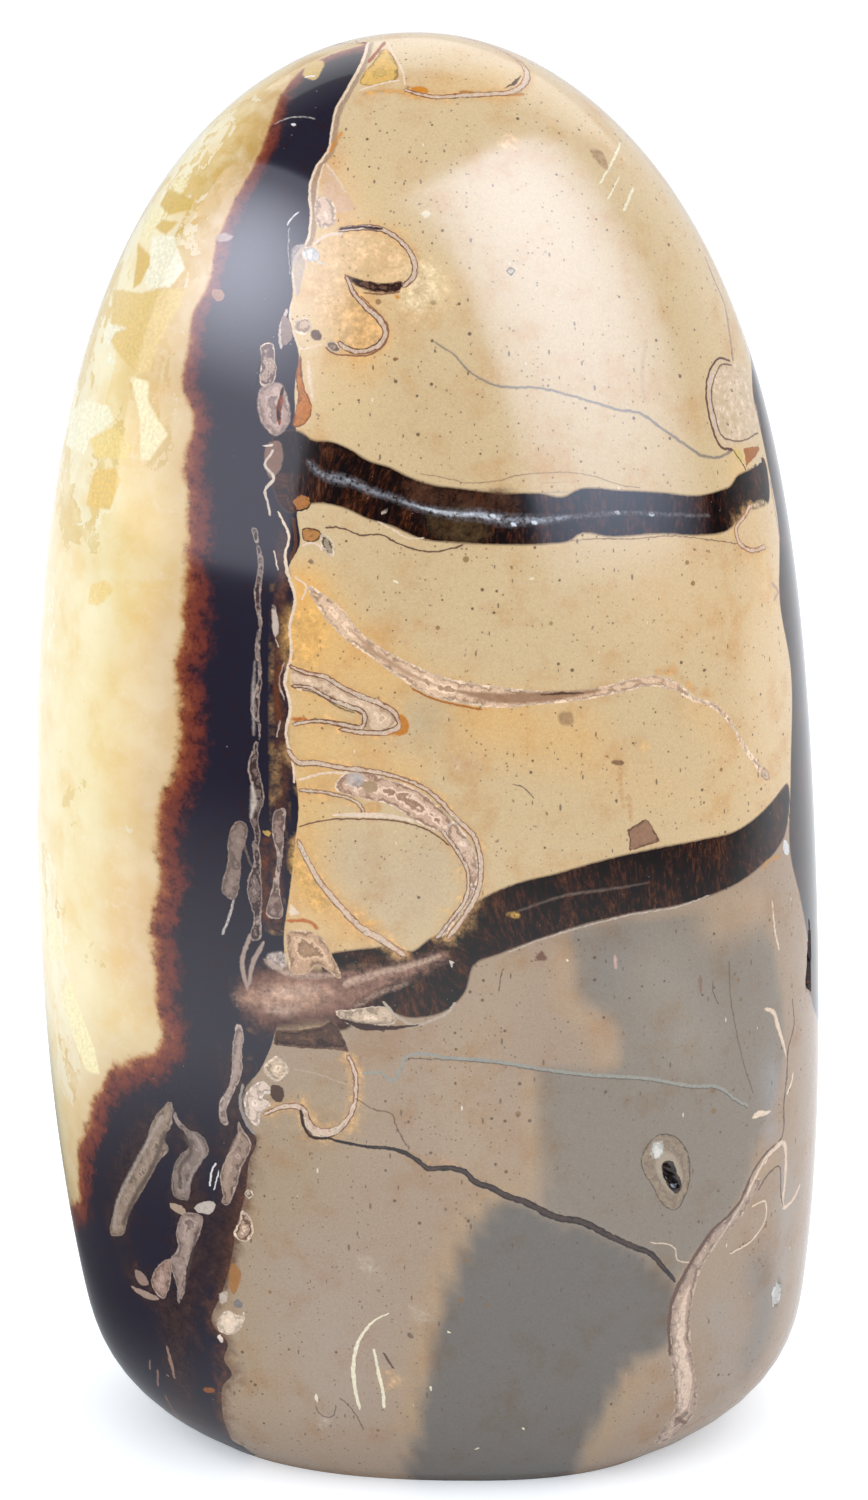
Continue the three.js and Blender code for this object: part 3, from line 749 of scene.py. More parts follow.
def loop(points, wide, brown):
    """A healed crack in the limestone: cream with brown edges, and rust has crept out beside it."""
    line = np.atleast_1d(wide)
    vein(points, line + 1.0, STAIN, soft=0.45, veil=0.5)
    vein(points, line + 0.2, CREAM, brown, 0.13)


patch(((31.2, 24), (33, 23.4), (36, 23.2), (39, 23.8), (41, 25.6), (40.6, 28), (37, 27.7), (34.6, 27.5),
       (35.6, 29.8), (37.9, 32.2), (38.1, 34), (35.5, 35), (33, 34), (31.2, 31), (30.6, 28)),
      (0.82, 0.55, 0.31), soft=0.6, veil=0.55)
patch(((35, 30), (36.6, 31), (38, 32.8), (37.4, 34.3), (35.6, 34.6), (35, 32)), (0.80, 0.46, 0.18), soft=0.6,
      veil=0.7)
patch(((30.3, 24.8), (31.4, 24.7), (32, 25.5), (31.6, 26.2), (30.5, 26)), (0.78, 0.76, 0.74), CREAM, 0.15,
      soft=0.1)
vein(((31.6, 26), (32.6, 26.5)), 0.15, (0.7, 0.66, 0.62))
vein(((41.4, 24.8), (41.9, 26.5), (41.5, 28.4)), 0.5, (0.60, 0.36, 0.18), soft=0.4, veil=0.6)
loop(((34, 23), (36, 22.75), (38, 22.9), (39.3, 23.5), (40.6, 24.7), (41.4, 26.2), (41.3, 27.7),
      (40.4, 28.6)), (0.34, 0.4, 0.34, 0.3, 0.4, 0.34), (0.20, 0.09, 0.055))
vein(((34, 22.95), (36, 22.7), (38.2, 22.9)), 0.22, DARK_BROWN)
vein(((31.4, 24.4), (32.5, 23.6), (34.2, 23.35)), 0.3, CREAM)
patch(((34.4, 27.4), (36, 27.9), (38, 28.3), (40.4, 28.35), (39.9, 29.1), (37.6, 29.2), (35.8, 28.7)),
      (0.055, 0.022, 0.015), (0.30, 0.17, 0.10), 0.12)
vein(((36.3, 29.3), (38.5, 29.4), (40, 29.2)), 0.16, (0.30, 0.15, 0.08))
vein(((39.6, 29.6), (39.9, 29.7)), 0.4, ORANGE, soft=0.15)
loop(((34.6, 27.6), (35.4, 29.3), (36.6, 30.7), (37.9, 31.9), (38.55, 33.1), (38.2, 34.2), (37, 34.95),
      (35, 35), (33.9, 34.3)), (0.2, 0.35, 0.45, 0.4, 0.3), (0.22, 0.10, 0.06))
vein(((36, 29.5), (37.3, 30.8), (38.9, 33), (38.3, 34.6), (36.8, 35.5), (35, 35.5), (33.2, 35.3),
      (32.5, 34.6)), (0.12, 0.2, 0.14), (0.30, 0.14, 0.08))
patch(((32.7, 34.3), (33.6, 34.2), (34, 35.1), (33, 35.1)), (0.30, 0.22, 0.17), CREAM, 0.1)
patch(((29.5, 32.2), (30.6, 31.8), (31.2, 32.8), (30.4, 33.5), (29.6, 33.2)), (0.52, 0.36, 0.24), CREAM,
      0.16)
patch(((31.1, 33.1), (31.9, 33), (32.1, 33.9), (31.3, 34)), (0.16, 0.09, 0.06), soft=0.1)
vein(((29.9, 34.9), (31.5, 34.7), (32.2, 34.4)), 0.15, CREAM)
patch(((30.2, 35.2), (30.2, 36.5), (30.4, 38.5), (31.2, 41), (30.5, 42.4), (29.4, 42.8), (29.8, 40),
       (29.6, 37.5)), (0.62, 0.22, 0.04), (0.30, 0.08, 0.02), 0.12)
vein(((30.8, 36), (31, 38), (31.3, 40)), (0.2, 0.5, 0.2), CREAM, veil=0.7)
patch(((32.8, 16.5), (34, 18.5), (35.5, 20.8), (32.3, 20.9), (32.2, 19.5)), (0.74, 0.50, 0.36), soft=0.2,
      veil=0.7)
vein(((32.6, 16.3), (33.6, 17.6), (34.6, 19.2)), 0.14, CREAM)
patch(((32, 19.6), (33.1, 20), (33.2, 22.6), (32.1, 22.8)), (0.72, 0.52, 0.42), CREAM, 0.15, soft=0.1)
vein(((34.2, 13.3), (33.5, 14.3), (33, 15.2)), 0.4, ORANGE, soft=0.2, veil=0.7)
vein(((39.4, 35.9), (39.7, 35.9)), 0.35, (0.3, 0.14, 0.06), soft=0.1)
vein(((42.5, 21.4), (42.7, 21.4)), 0.9, (0.90, 0.78, 0.58), soft=0.2)
vein(((41.5, 28.2), (42.2, 29.4)), 0.8, (0.55, 0.42, 0.30), soft=0.4, veil=0.5)
patch(((41.5, 26), (43.5, 26.5), (44.5, 29), (43, 31.5), (40.5, 31)), (0.88, 0.70, 0.44), soft=1.0, veil=0.6)

# the crown's loop and the golden triangle at the top of the band
patch(((38.6, 4.9), (37.3, 6.2), (36.1, 8.4), (38, 8.5), (39.6, 8), (39.8, 6.6), (39, 5.2)),
      (0.78, 0.52, 0.16), (0.55, 0.30, 0.08), 0.2, soft=0.08)
vein(((38.5, 4.2), (37.7, 5.2), (36.9, 6.2)), 0.4, (0.35, 0.10, 0.04), soft=0.1)
vein(((38.7, 4.2), (39.4, 5.6), (40.2, 7), (40.5, 8.5)), 0.16, CREAM)
vein(((36, 9), (37, 8.7), (38, 8.4), (40, 8)), 0.2, CREAM)
vein(((36.3, 9.4), (38, 9.1), (40, 9.2), (42, 9.8)), 0.5, (0.72, 0.36, 0.09), soft=0.25, veil=0.8)
patch(((41, 8.9), (42, 8.6), (43, 9.1), (42, 9.3)), ORANGE, soft=0.12)
loop(((40.5, 9), (41.5, 9.3), (43.5, 9.7), (46, 9.55), (49, 9.4), (51.2, 9.2), (52.3, 8.5), (52.7, 7.3),
      (51.6, 5.9), (50, 5), (48.2, 4.3), (46, 3.7)), (0.25, 0.4, 0.45, 0.5, 0.4, 0.3), (0.28, 0.13, 0.07))
vein(((50.6, 8.8), (51.4, 8.3), (52.1, 7.6)), (0.12, 0.4, 0.12), (0.10, 0.04, 0.03))
vein(((46, 9.2), (47.3, 9.2)), 0.35, (0.52, 0.24, 0.07), soft=0.12)
vein(((50.9, 9.5), (52.4, 9.4)), 0.35, (0.52, 0.24, 0.07), soft=0.12)
patch(((30.3, 7.5), (31.3, 6.1), (32.3, 6.1), (31.4, 8)), (0.62, 0.42, 0.14), soft=0.15)
vein(((30.5, 7.7), (31.5, 7.6)), 0.2, WHITE)
vein(((27.4, 12.4), (28.4, 11.95), (30.6, 11.7), (31.5, 11.9)), 0.13, (0.55, 0.5, 0.48), veil=0.7)
vein(((29.2, 12.4), (29.5, 12.5)), 0.3, WHITE, veil=0.8)

# small things just under the first vein
patch(((30.2, 52.9), (31.2, 52.8), (32.2, 53.3), (31.8, 54.1), (30.4, 54)), (0.60, 0.28, 0.09),
      (0.16, 0.07, 0.04), 0.14)
patch(((32.1, 54.4), (32, 53.4), (32.5, 53.4), (33.4, 54.6), (33.3, 55.7), (32.5, 55.3)), (0.13, 0.11, 0.06),
      CREAM, 0.24)
vein(((30.2, 54.6), (31, 54.3), (31.8, 54.4), (32.2, 55)), 0.2, CREAM)
patch(((30.7, 56.3), (31.2, 55.8), (31.5, 56.4)), (0.35, 0.22, 0.14))
vein(((32.5, 52.8), (33.5, 52.7), (35, 53.1), (36, 53.5), (38.2, 53.5), (39.5, 54.2), (41.3, 54.9),
      (43, 55.15), (45, 54.9), (46.4, 54.5)), 0.16, (0.16, 0.09, 0.06))
vein(((37.6, 52.1), (39.2, 52.9), (40.6, 53.75), (42.5, 53.8)), 0.14, CREAM, veil=0.8)
vein(((42, 47.4), (44, 47.7), (47, 48.3), (49.5, 48.1), (51.5, 47.6), (54.5, 47.3), (58, 47.35), (60, 47.8),
      (62.5, 48.6), (64, 48.8)), 0.1, (0.30, 0.20, 0.12), veil=0.8)

# the third lobe, below the first vein
patch(((29.2, 61), (32, 61.5), (32.6, 63.5), (31, 66.4), (29.2, 66.2)), (0.80, 0.46, 0.15), soft=0.8,
      veil=0.7)
LOBE_OUTER = ((29, 66.6), (30.3, 67.2), (32.5, 67.7), (34.5, 68.9), (36.5, 69.8), (38.3, 70.5), (39.6, 71.5),
              (39.9, 72.6), (38.8, 73.2), (37, 73.3), (34, 72.9))
LOBE_INNER = ((29.2, 68.6), (31, 68.8), (33, 69.9), (35, 70.7), (36.4, 71.3), (36.3, 72.6), (34, 72.4),
              (32, 72.1), (29.3, 72.4))
patch(((29.2, 67.1), (32.4, 67.9), (35.4, 69.5), (38.2, 70.6), (39.7, 72), (38.8, 73), (36.6, 73),
       (36.3, 71.4), (34, 70.4), (32, 69.2), (29.3, 68.6)), (0.66, 0.46, 0.32), (0.92, 0.72, 0.54), 0.1,
      soft=0.12, veil=0.9)
loop(LOBE_OUTER, (0.25, 0.35, 0.4, 0.3), (0.24, 0.11, 0.06))
loop(LOBE_INNER, (0.2, 0.3, 0.35, 0.2), (0.20, 0.10, 0.06))
vein(((30.2, 69), (32, 69.5), (34, 70.8), (35.6, 71.3)), 0.16, (0.13, 0.10, 0.08), veil=0.8)
patch(((39.9, 71.3), (40.9, 72.3), (40.7, 73.3), (38.5, 73.5), (40.1, 72.9)), (0.62, 0.24, 0.05), soft=0.1)
vein(((29.2, 71.9), (30.6, 71.9)), 0.35, RUST, soft=0.12, veil=0.8)

# the long wavy vein from the band to the right
WAVE_TOP = (
    (30.8, 58.5), (32.2, 59.3), (34.3, 61), (36, 63.1), (38.3, 64.9), (41, 66.3), (44, 67.6), (48, 68.4),
    (52, 68.9), (56, 69.1), (60, 68.7), (63, 67.9), (66, 67.6), (68, 68.4), (69.5, 69.7), (71.3, 70.2),
    (73.1, 71.9), (74.5, 74.4), (75.9, 76.3), (76.8, 77.3),
)
WAVE_BOTTOM = (
    (32.3, 61.5), (34.5, 63.9), (37.2, 65.8), (40.4, 68.1), (43, 69.5), (46, 70.3), (50, 70.8), (54, 70.45),
    (58, 70.05), (62, 69.3), (65, 68.65), (67.5, 69.1), (69.2, 70.1), (70.9, 70.6), (72.8, 72.2),
    (74.2, 74.7), (75.6, 76.7), (76.4, 77.6),
)
vein(((65.5, 67.2), (67.6, 67.3), (69.4, 69), (71, 69.6)), 0.4, (0.70, 0.34, 0.10), soft=0.25, veil=0.7)
patch(WAVE_TOP + WAVE_BOTTOM[::-1], (0.68, 0.45, 0.29), (0.94, 0.70, 0.51), 0.2)
vein(((34.6, 62.6), (38, 65.6), (41, 67.4), (44.5, 68.9)), (0.1, 0.5, 0.4, 0.1), (0.50, 0.31, 0.19),
     soft=0.2, veil=0.9)
vein(((45.5, 69.1), (50, 69.8), (55, 69.6), (60, 69.05)), (0.2, 1.1, 0.9, 0.3), (0.36, 0.20, 0.115),
     soft=0.2, veil=0.9)
vein(((54, 69.5), (56, 69.35), (58.5, 69.3)), (0.1, 0.3, 0.1), (0.12, 0.06, 0.04))
vein(((41.1, 68.8), (43, 69.75), (45, 70.35), (48.2, 70.95)), 0.2, (0.45, 0.16, 0.04))
vein(((76.3, 77.2), (76.8, 77.7)), 0.9, (0.72, 0.54, 0.38), (0.35, 0.2, 0.12), 0.12)
vein(((29.5, 57.7), (30.6, 58.6), (30.2, 60)), 0.18, CREAM)

# the big oval over the junction, with its speckled filling
patch(((35, 77), (39, 78), (41, 78.6), (43.8, 80.6), (46.5, 84.5), (44.8, 83.6), (41.5, 82.1), (39, 80.5),
       (36, 79.8), (33.4, 78.8)), (0.55, 0.34, 0.23), (0.88, 0.68, 0.53), 0.12)
patch(((36.2, 78.4), (37.5, 78.1), (37.8, 78.9), (36.6, 79.3)), (0.48, 0.33, 0.20), soft=0.1)
patch(((36.4, 80.5), (38.2, 80.4), (38, 81.2), (36.6, 81.2)), (0.72, 0.44, 0.20), soft=0.1)
patch(((34.6, 77.5), (36.4, 77.6), (36.3, 78.4), (35, 78.6)), (0.50, 0.46, 0.45), soft=0.2, veil=0.7)
patch(((45, 82.2), (46.8, 83.8), (47.7, 86), (47.7, 88.4), (46.8, 90.4), (45.2, 92.6), (44.4, 93.6),
       (43.8, 93.7), (46, 90.6), (46.8, 88.4), (46.2, 85.8), (44.6, 83.2)), (0.60, 0.39, 0.27),
      (0.90, 0.72, 0.58), 0.15)
loop(((28.8, 75), (29.7, 76.2), (31.5, 76.3), (34, 76.75), (37, 77.1), (40, 77.8), (42, 78.6), (43.7, 79.8),
      (45.5, 81.8), (47.4, 83.7), (48.1, 86.7), (47.6, 89.6), (46.5, 91.5), (44.8, 93.8)),
     (0.4, 0.35, 0.3, 0.35, 0.4, 0.35), (0.30, 0.16, 0.10))
loop(((44.2, 83.1), (45.5, 84.8), (46.8, 87.3), (46.6, 89.8), (45.1, 92), (43.7, 93.8)), 0.24,
     (0.26, 0.14, 0.09))
vein(((29.8, 78), (32.5, 77.3), (35, 77.3)), 0.22, CREAM)
loop(((30, 79), (33, 79.35), (35, 79.9), (36.2, 80.8), (36.3, 81.3)), 0.22, (0.3, 0.18, 0.11))
vein(((33.3, 81.5), (36.3, 81.5), (39.5, 81.7), (41.4, 82.1)), (0.25, 0.5, 0.25), CREAM)
vein(((29.8, 82.7), (31.5, 82.2), (36.3, 81.9), (40.7, 82.3), (43.5, 83.4), (45, 84.6)), 0.16,
     (0.22, 0.11, 0.07))
patch(((29.3, 84.5), (30.8, 86.6), (32.6, 89.2), (33.4, 90.6), (31, 90.4), (29.3, 88)), (0.80, 0.46, 0.14),
      soft=0.5, veil=0.8)
loop(((29.8, 84), (30.7, 86), (32.2, 88.5), (34, 90.6), (36, 92.7), (38.8, 94.4), (40.4, 95.5)),
     (0.3, 0.5, 0.55, 0.5), (0.36, 0.20, 0.12))
vein(((36.3, 92.2), (38.5, 93)), 0.7, (0.76, 0.42, 0.13), soft=0.3, veil=0.8)
patch(((29.1, 90.3), (30, 91.4), (28.7, 91.7)), CREAM, bent=False)
vein(((28.8, 92.1), (31, 92.2), (31.8, 92.9)), 0.35, RUST, soft=0.12, veil=0.85)
patch(((28.7, 93.3), (30.5, 93), (32.3, 93.9), (33.2, 95.5), (34.2, 98.1), (31.7, 96.6), (30.6, 97.4),
       (29.1, 97.3), (28.8, 95.5)), (0.48, 0.29, 0.17), (0.72, 0.50, 0.34), 0.16)

# the loop below the junction, with its striped filling
loop(((26.5, 111.4), (28.2, 110.7), (30.2, 110.8), (30.7, 112.2), (31.6, 113.2), (33.2, 113.2),
      (34.6, 112.2), (35.4, 110.6), (35.6, 108.6), (35.5, 107.2), (34.8, 105.6)),
     (0.25, 0.4, 0.7, 0.9, 0.4, 0.3, 0.35, 0.3), (0.24, 0.12, 0.08))
vein(((30.1, 110.9), (30.35, 112.5), (31, 113.6), (32.8, 113.85)), 0.3, DARK_BROWN)
vein(((29.3, 106.9), (31.8, 107.4), (33.4, 108), (35, 108.6)), 0.14, (0.5, 0.38, 0.28))
patch(((26.3, 106.9), (27.6, 105.6), (28.9, 106.9), (27.6, 108.2)), (0.50, 0.37, 0.25), CREAM, 0.3)

# ---------------------------------------------------------------- the fine cracks of the limestone
# Shrinkage cracks a few tenths of a millimetre wide, healed dark brown, cream or grey-green.

CRACK = ((32.6, 113.7), (34.2, 114.2), (36.2, 114.6), (40, 115.1), (41.6, 115.9), (42.9, 116.9),
         (44.2, 116.8), (46.5, 117.2), (47.5, 118.2), (49, 118.7), (50.7, 119.6), (52.5, 120.2),
         (55.5, 121.7), (58, 122.15), (60.8, 123.5), (63.8, 124.85), (65.1, 125.4), (66.2, 126.6),
         (67.5, 128.1))
vein(((42.5, 116.2), (44.2, 116.3), (46, 116.6)), 0.7, (0.50, 0.30, 0.17), soft=0.3, veil=0.8)
vein(CRACK, (0.25, 0.35, 0.5, 0.6, 0.7, 0.72, 0.7, 0.6, 0.4), (0.085, 0.052, 0.040), (0.02, 0.012, 0.011),
     0.2)
vein(((35.5, 109.8), (37.5, 111), (39.2, 111.4), (39.6, 112.6), (40.8, 114.8)), 0.13, (0.16, 0.09, 0.06),
     veil=0.9)
GREEN_GREY = ((36.2, 107.4), (38.2, 107.3), (39.1, 108.1), (40.8, 105.6), (45, 105.8), (50, 106.2),
              (54, 106.9), (59, 107.5), (65, 107.9), (69, 108.6), (72, 108.8), (73.6, 110), (74.8, 110.6))
vein(GREEN_GREY, (0.25, 0.35, 0.35, 0.35, 0.3), (0.34, 0.335, 0.29), soft=0.08)
vein(tuple((x, y + 0.2) for x, y in GREEN_GREY[3:]), 0.11, (0.12, 0.10, 0.085), veil=0.8)
vein(((65, 124.2), (67.6, 125), (67.6, 125.8), (69, 126.3)), 0.12, CREAM, veil=0.8)
vein(((43.4, 34.2), (45.1, 35.2), (47, 37.2), (48.9, 38.3), (54.5, 38.9), (59.2, 40.2), (62, 41),
      (64, 41.35), (66, 42.7), (68.3, 44.3), (70.3, 45.6), (71.8, 45.75), (73.2, 45)),
     (0.15, 0.22, 0.25, 0.28, 0.3), (0.26, 0.22, 0.19), soft=0.08, veil=0.85)
vein(((62, 76.6), (62.1, 79), (62.4, 80.7)), 0.35, (0.60, 0.30, 0.12), soft=0.2, veil=0.5)
vein(((62.8, 79.5), (63.1, 82)), 0.4, (0.60, 0.30, 0.12), soft=0.2, veil=0.5)
vein(((65.5, 71.8), (64.5, 73.5), (63.9, 75.7)), 0.5, (0.70, 0.42, 0.16), soft=0.4, veil=0.5)
patch(((62.7, 83), (64.7, 81.8), (65.4, 83), (66.1, 84.1), (64, 84.8), (62.8, 85.2), (63, 84.2)),
      (0.38, 0.22, 0.14), (0.24, 0.12, 0.075), 0.15, bent=False)
vein(((61.3, 76.2), (62.3, 76.3)), 0.45, (0.30, 0.16, 0.09), soft=0.1)
for hair in (
    ((72.9, 96), (73, 99), (73.7, 103.5), (74.4, 106.5), (75.4, 109.5)),
    ((71.3, 98), (71.3, 99), (71.9, 100.5)), ((50.4, 96.8), (50.1, 97.6), (49.9, 99.2)),
    ((33.9, 139.7), (34.7, 140.4), (35.9, 142), (36.4, 143.1)), ((51.3, 78.4), (52.4, 78.8), (53.4, 79.9)),
    ((31.4, 140.4), (32.3, 141.6), (33.2, 141.7), (33.6, 140.5)),
):
    vein(hair, 0.12, (0.13, 0.09, 0.07), veil=0.85)

# ---------------------------------------------------------------- the right edge and its veins
# Close to the flank's dark vein the limestone holds a double line, two small loops and a branching
# cream vein that runs down to the foot.

vein(((70.5, 25.7), (71.5, 28.2), (72.3, 30), (72.9, 33), (73.3, 36)), 0.36, (0.62, 0.46, 0.36),
     (0.20, 0.10, 0.08), 0.1)
patch(((73.2, 36.2), (71.9, 36.2), (71, 37.8), (70.9, 40), (71.4, 42.6), (72.3, 44.3), (73.6, 44.5),
       (75.4, 43.8), (76, 42.6), (75.3, 39.6), (74.4, 36.6)), (0.72, 0.56, 0.44), soft=0.3, veil=0.5)
vein(((73, 36.1), (71.9, 35.85), (70.9, 37.3), (70.6, 39), (70.8, 41), (71.3, 43), (72, 44.6), (73.3, 45)),
     0.24, (0.16, 0.08, 0.07))
vein(((73.2, 36.5), (72, 36.6), (71.4, 37.9), (71.15, 39.5), (71.5, 41.5), (72.2, 43.6), (73.5, 44.1),
      (75.8, 43.3)), 0.16, (0.24, 0.13, 0.10))
vein(((71.2, 37.1), (70.95, 39), (71.15, 41), (71.7, 43.3)), 0.2, (0.66, 0.54, 0.52), soft=0.08)
patch(((74.3, 44.8), (76.1, 44.6), (75.6, 45.6), (74.8, 46.4), (74.5, 46.9), (74.6, 46)), (0.42, 0.15, 0.04),
      bent=False)
patch(((73.3, 45), (74.1, 45.1), (74.3, 46.3), (73.8, 46)), (0.75, 0.55, 0.20), soft=0.1)
patch(((75.2, 46.8), (76, 45.6), (76.2, 46.2)), (0.72, 0.55, 0.38), bent=False)
vein(((73.3, 45), (74.2, 46.3), (74.6, 47)), 0.13, BLACK)
patch(((75, 50.6), (74, 52.2), (73.6, 53.6), (74.4, 54.7), (75.6, 55.15), (76.8, 54.6), (77.3, 52.5),
       (76.8, 50.4)), (0.76, 0.56, 0.34), soft=0.2, veil=0.6)
loop(((75, 50.6), (74.3, 51.8), (73.6, 52.9), (73.9, 54.2), (75, 55), (76.5, 54.7)), 0.36,
     (0.36, 0.18, 0.10))
vein(((76.5, 100.9), (77.2, 101.1), (77.9, 103), (78.7, 105.8)), (0.4, 0.6, 0.5, 0.2), CREAM,
     (0.55, 0.40, 0.30), 0.1)
vein(((79.2, 99.8), (79.4, 102.5), (78.8, 105), (78.7, 107.5), (78.4, 110), (78.15, 113.8), (76.7, 115.2),
      (75.4, 117), (74.3, 119.4)), 0.2, (0.10, 0.06, 0.05))
vein(((79.3, 107.2), (79.2, 108), (78.7, 109.4)), 0.25, CREAM)
patch(((75, 111.8), (75.8, 111.1), (76.8, 111.1), (78.3, 110.1), (76.3, 111.6)), CREAM)
patch(((76.4, 115.9), (77.6, 115.1), (77.9, 116.6), (76.6, 117.2), (75.8, 118.4)), (0.46, 0.32, 0.20),
      soft=0.2, veil=0.8)
BRANCH_LEFT = (
    (75, 118), (74.2, 119.8), (73, 121.4), (71.4, 122.9), (69.7, 125.3), (68.4, 127.5), (67.2, 130.2),
    (66.9, 132.3), (67, 135.5), (67.4, 139.5), (67.3, 141.2), (66.4, 142.6), (65.4, 144.4),
)
BRANCH_RIGHT = (
    (76.2, 118), (75.3, 119.6), (74, 121.9), (72, 124), (70.4, 126.4), (69.4, 129.3), (69.05, 132.5),
    (69.4, 136.5), (69.8, 139.4), (69.2, 141.8), (68, 143), (66.6, 144.6),
)
patch(BRANCH_LEFT + BRANCH_RIGHT[::-1], (0.36, 0.26, 0.20), (0.58, 0.42, 0.32), 0.2)
vein(BRANCH_LEFT[:9], (0.2, 0.4, 0.45, 0.3), (0.15, 0.08, 0.06))
vein(((69, 128.5), (68.2, 131), (68, 134), (68.5, 138), (68.3, 141)), (0.3, 1.1, 1.4, 1.7, 1.2),
     (0.80, 0.62, 0.49), (0.62, 0.44, 0.33), 0.15, soft=0.15, veil=0.9)
vein(((74.6, 119.6), (72.8, 122.6), (71, 125.2)), 0.3, (0.62, 0.50, 0.40), veil=0.8)
vein(((67.6, 141.8), (68.6, 142.3)), 0.5, (0.22, 0.12, 0.08), soft=0.12)
vein(((68, 143), (70, 142), (73, 140.5), (74.5, 139.4)), 0.2, (0.45, 0.2, 0.09), veil=0.8)
vein(((75.2, 120.7), (76.5, 120.1), (76.5, 122), (75.4, 123.8), (73, 125.4)), 0.16, CREAM)
vein(((74.6, 119.8), (75.8, 117.2), (76.9, 115.5), (78.3, 114.3), (78.5, 118), (78.3, 120.8), (79.4, 119.8),
      (80, 118.5)), (0.4, 0.7, 0.6, 0.5), CREAM, (0.50, 0.36, 0.27), 0.12)
vein(((75.8, 119), (76.9, 117.3), (77.8, 116.6), (78.1, 119.5), (78.3, 120.8)), 0.18, (0.14, 0.08, 0.06))

# ---------------------------------------------------------------- chips, scratches and stains
# What handling and the grinder left: bright scratches, pale chips and brown spots a millimetre across.

SCRATCH = (0.92, 0.84, 0.62)
for points, wide in (
    (((38.9, 131.3), (37.4, 132.1), (36.2, 133.5), (35.5, 135.3), (35.35, 137.6), (35.7, 139.8),
      (36, 140.9)), (0.12, 0.3, 0.4, 0.3)),
    (((37.4, 134.9), (37.85, 137.3), (38.3, 139.3), (38.4, 140.8)), (0.2, 0.38, 0.3)),
    (((62, 14.3), (61.2, 16.2), (60, 18.3)), 0.25), (((61.9, 17.7), (60.8, 19.9)), 0.16),
    (((63.3, 18.8), (62.4, 21)), 0.3), (((31.6, 139.4), (31.7, 140.2)), 0.3),
    (((39.3, 58.1), (39.8, 58.3)), 0.25), (((53, 57.9), (53.4, 57.9)), 0.2),
    (((44.8, 133.1), (45, 133.3)), 0.3), (((43.1, 138.7), (43.1, 139)), 0.3),
    (((52.3, 142.8), (52.4, 143)), 0.3), (((47.5, 144.9), (47.9, 144.8)), 0.2),
    (((56.6, 96), (56.9, 96.1)), 0.25),
):
    vein(points, wide, SCRATCH)
vein(((38.3, 135.2), (38.7, 135.9), (39.4, 136.9)), 0.22, (0.12, 0.07, 0.05))
vein(((41, 133.5), (41.1, 133.6)), 0.8, (0.12, 0.08, 0.06), soft=0.15, veil=0.8)
patch(((38, 137), (40, 137.4), (39.8, 139), (38.3, 139)), (0.60, 0.38, 0.20), soft=0.5, veil=0.5)
for x, y, size in ((36.8, 126.7, 1.6), (41, 131, 1.4), (32, 142, 1.2), (46, 76, 1.2)):
    vein(((x, y), (x + 0.8, y + 0.3)), size, (0.62, 0.52, 0.42), soft=0.5, veil=0.35)
patch(((53, 96.2), (54.2, 95), (54.8, 96)), (0.20, 0.10, 0.07), soft=0.1, bent=False)
vein(((61.5, 95.5), (61.6, 96.9)), 0.3, (0.62, 0.42, 0.36), soft=0.12)
vein(((70, 97.6), (70.1, 99.2)), 0.35, (0.26, 0.17, 0.12), soft=0.12)
patch(((59, 15), (60.1, 15.1), (60.7, 17), (59.9, 16.4)), (0.40, 0.24, 0.13), soft=0.2, veil=0.7)
patch(((50.2, 14), (51, 13.4), (51.8, 14), (51.3, 14.8), (50.4, 14.7)), (0.86, 0.60, 0.36), soft=0.3,
      veil=0.8)
vein(((51, 27.1), (51.15, 27.1)), 0.95, (0.70, 0.58, 0.40), (0.22, 0.16, 0.10), 0.18)
vein(((64.6, 34), (64.2, 38), (64.5, 40)), 0.35, (0.60, 0.40, 0.24), soft=0.2, veil=0.6)
vein(((67.2, 39.2), (67.4, 39.5)), 0.9, (0.60, 0.38, 0.20), soft=0.4, veil=0.5)
patch(((55.8, 71.4), (57.2, 71.3), (57.3, 72.3), (56.2, 72.5)), (0.40, 0.25, 0.13), soft=0.2, veil=0.8)
for x, y in (
    (72.7, 42.4), (73.1, 39), (69.4, 54.9), (70.8, 55.1), (51.1, 56.7), (51.2, 80), (53.4, 82.6),
    (54.6, 81.3), (55.1, 74.3), (58, 70.7), (60.6, 75.6), (35.4, 64.5), (32.1, 72.8), (34.8, 134.9),
    (39.4, 143.4), (43, 60.5),
):
    vein(((x, y), (x + 0.15, y + 0.1)), 0.32, (0.20, 0.11, 0.06), soft=0.1, veil=0.85)

# ---------------------------------------------------------------- the back of the stone
# Cut from the same nodule, so its veins are of the same kinds: loops off the band, a long wavy vein,
# fine cracks and a branching cream vein. Places are bearings and heights.

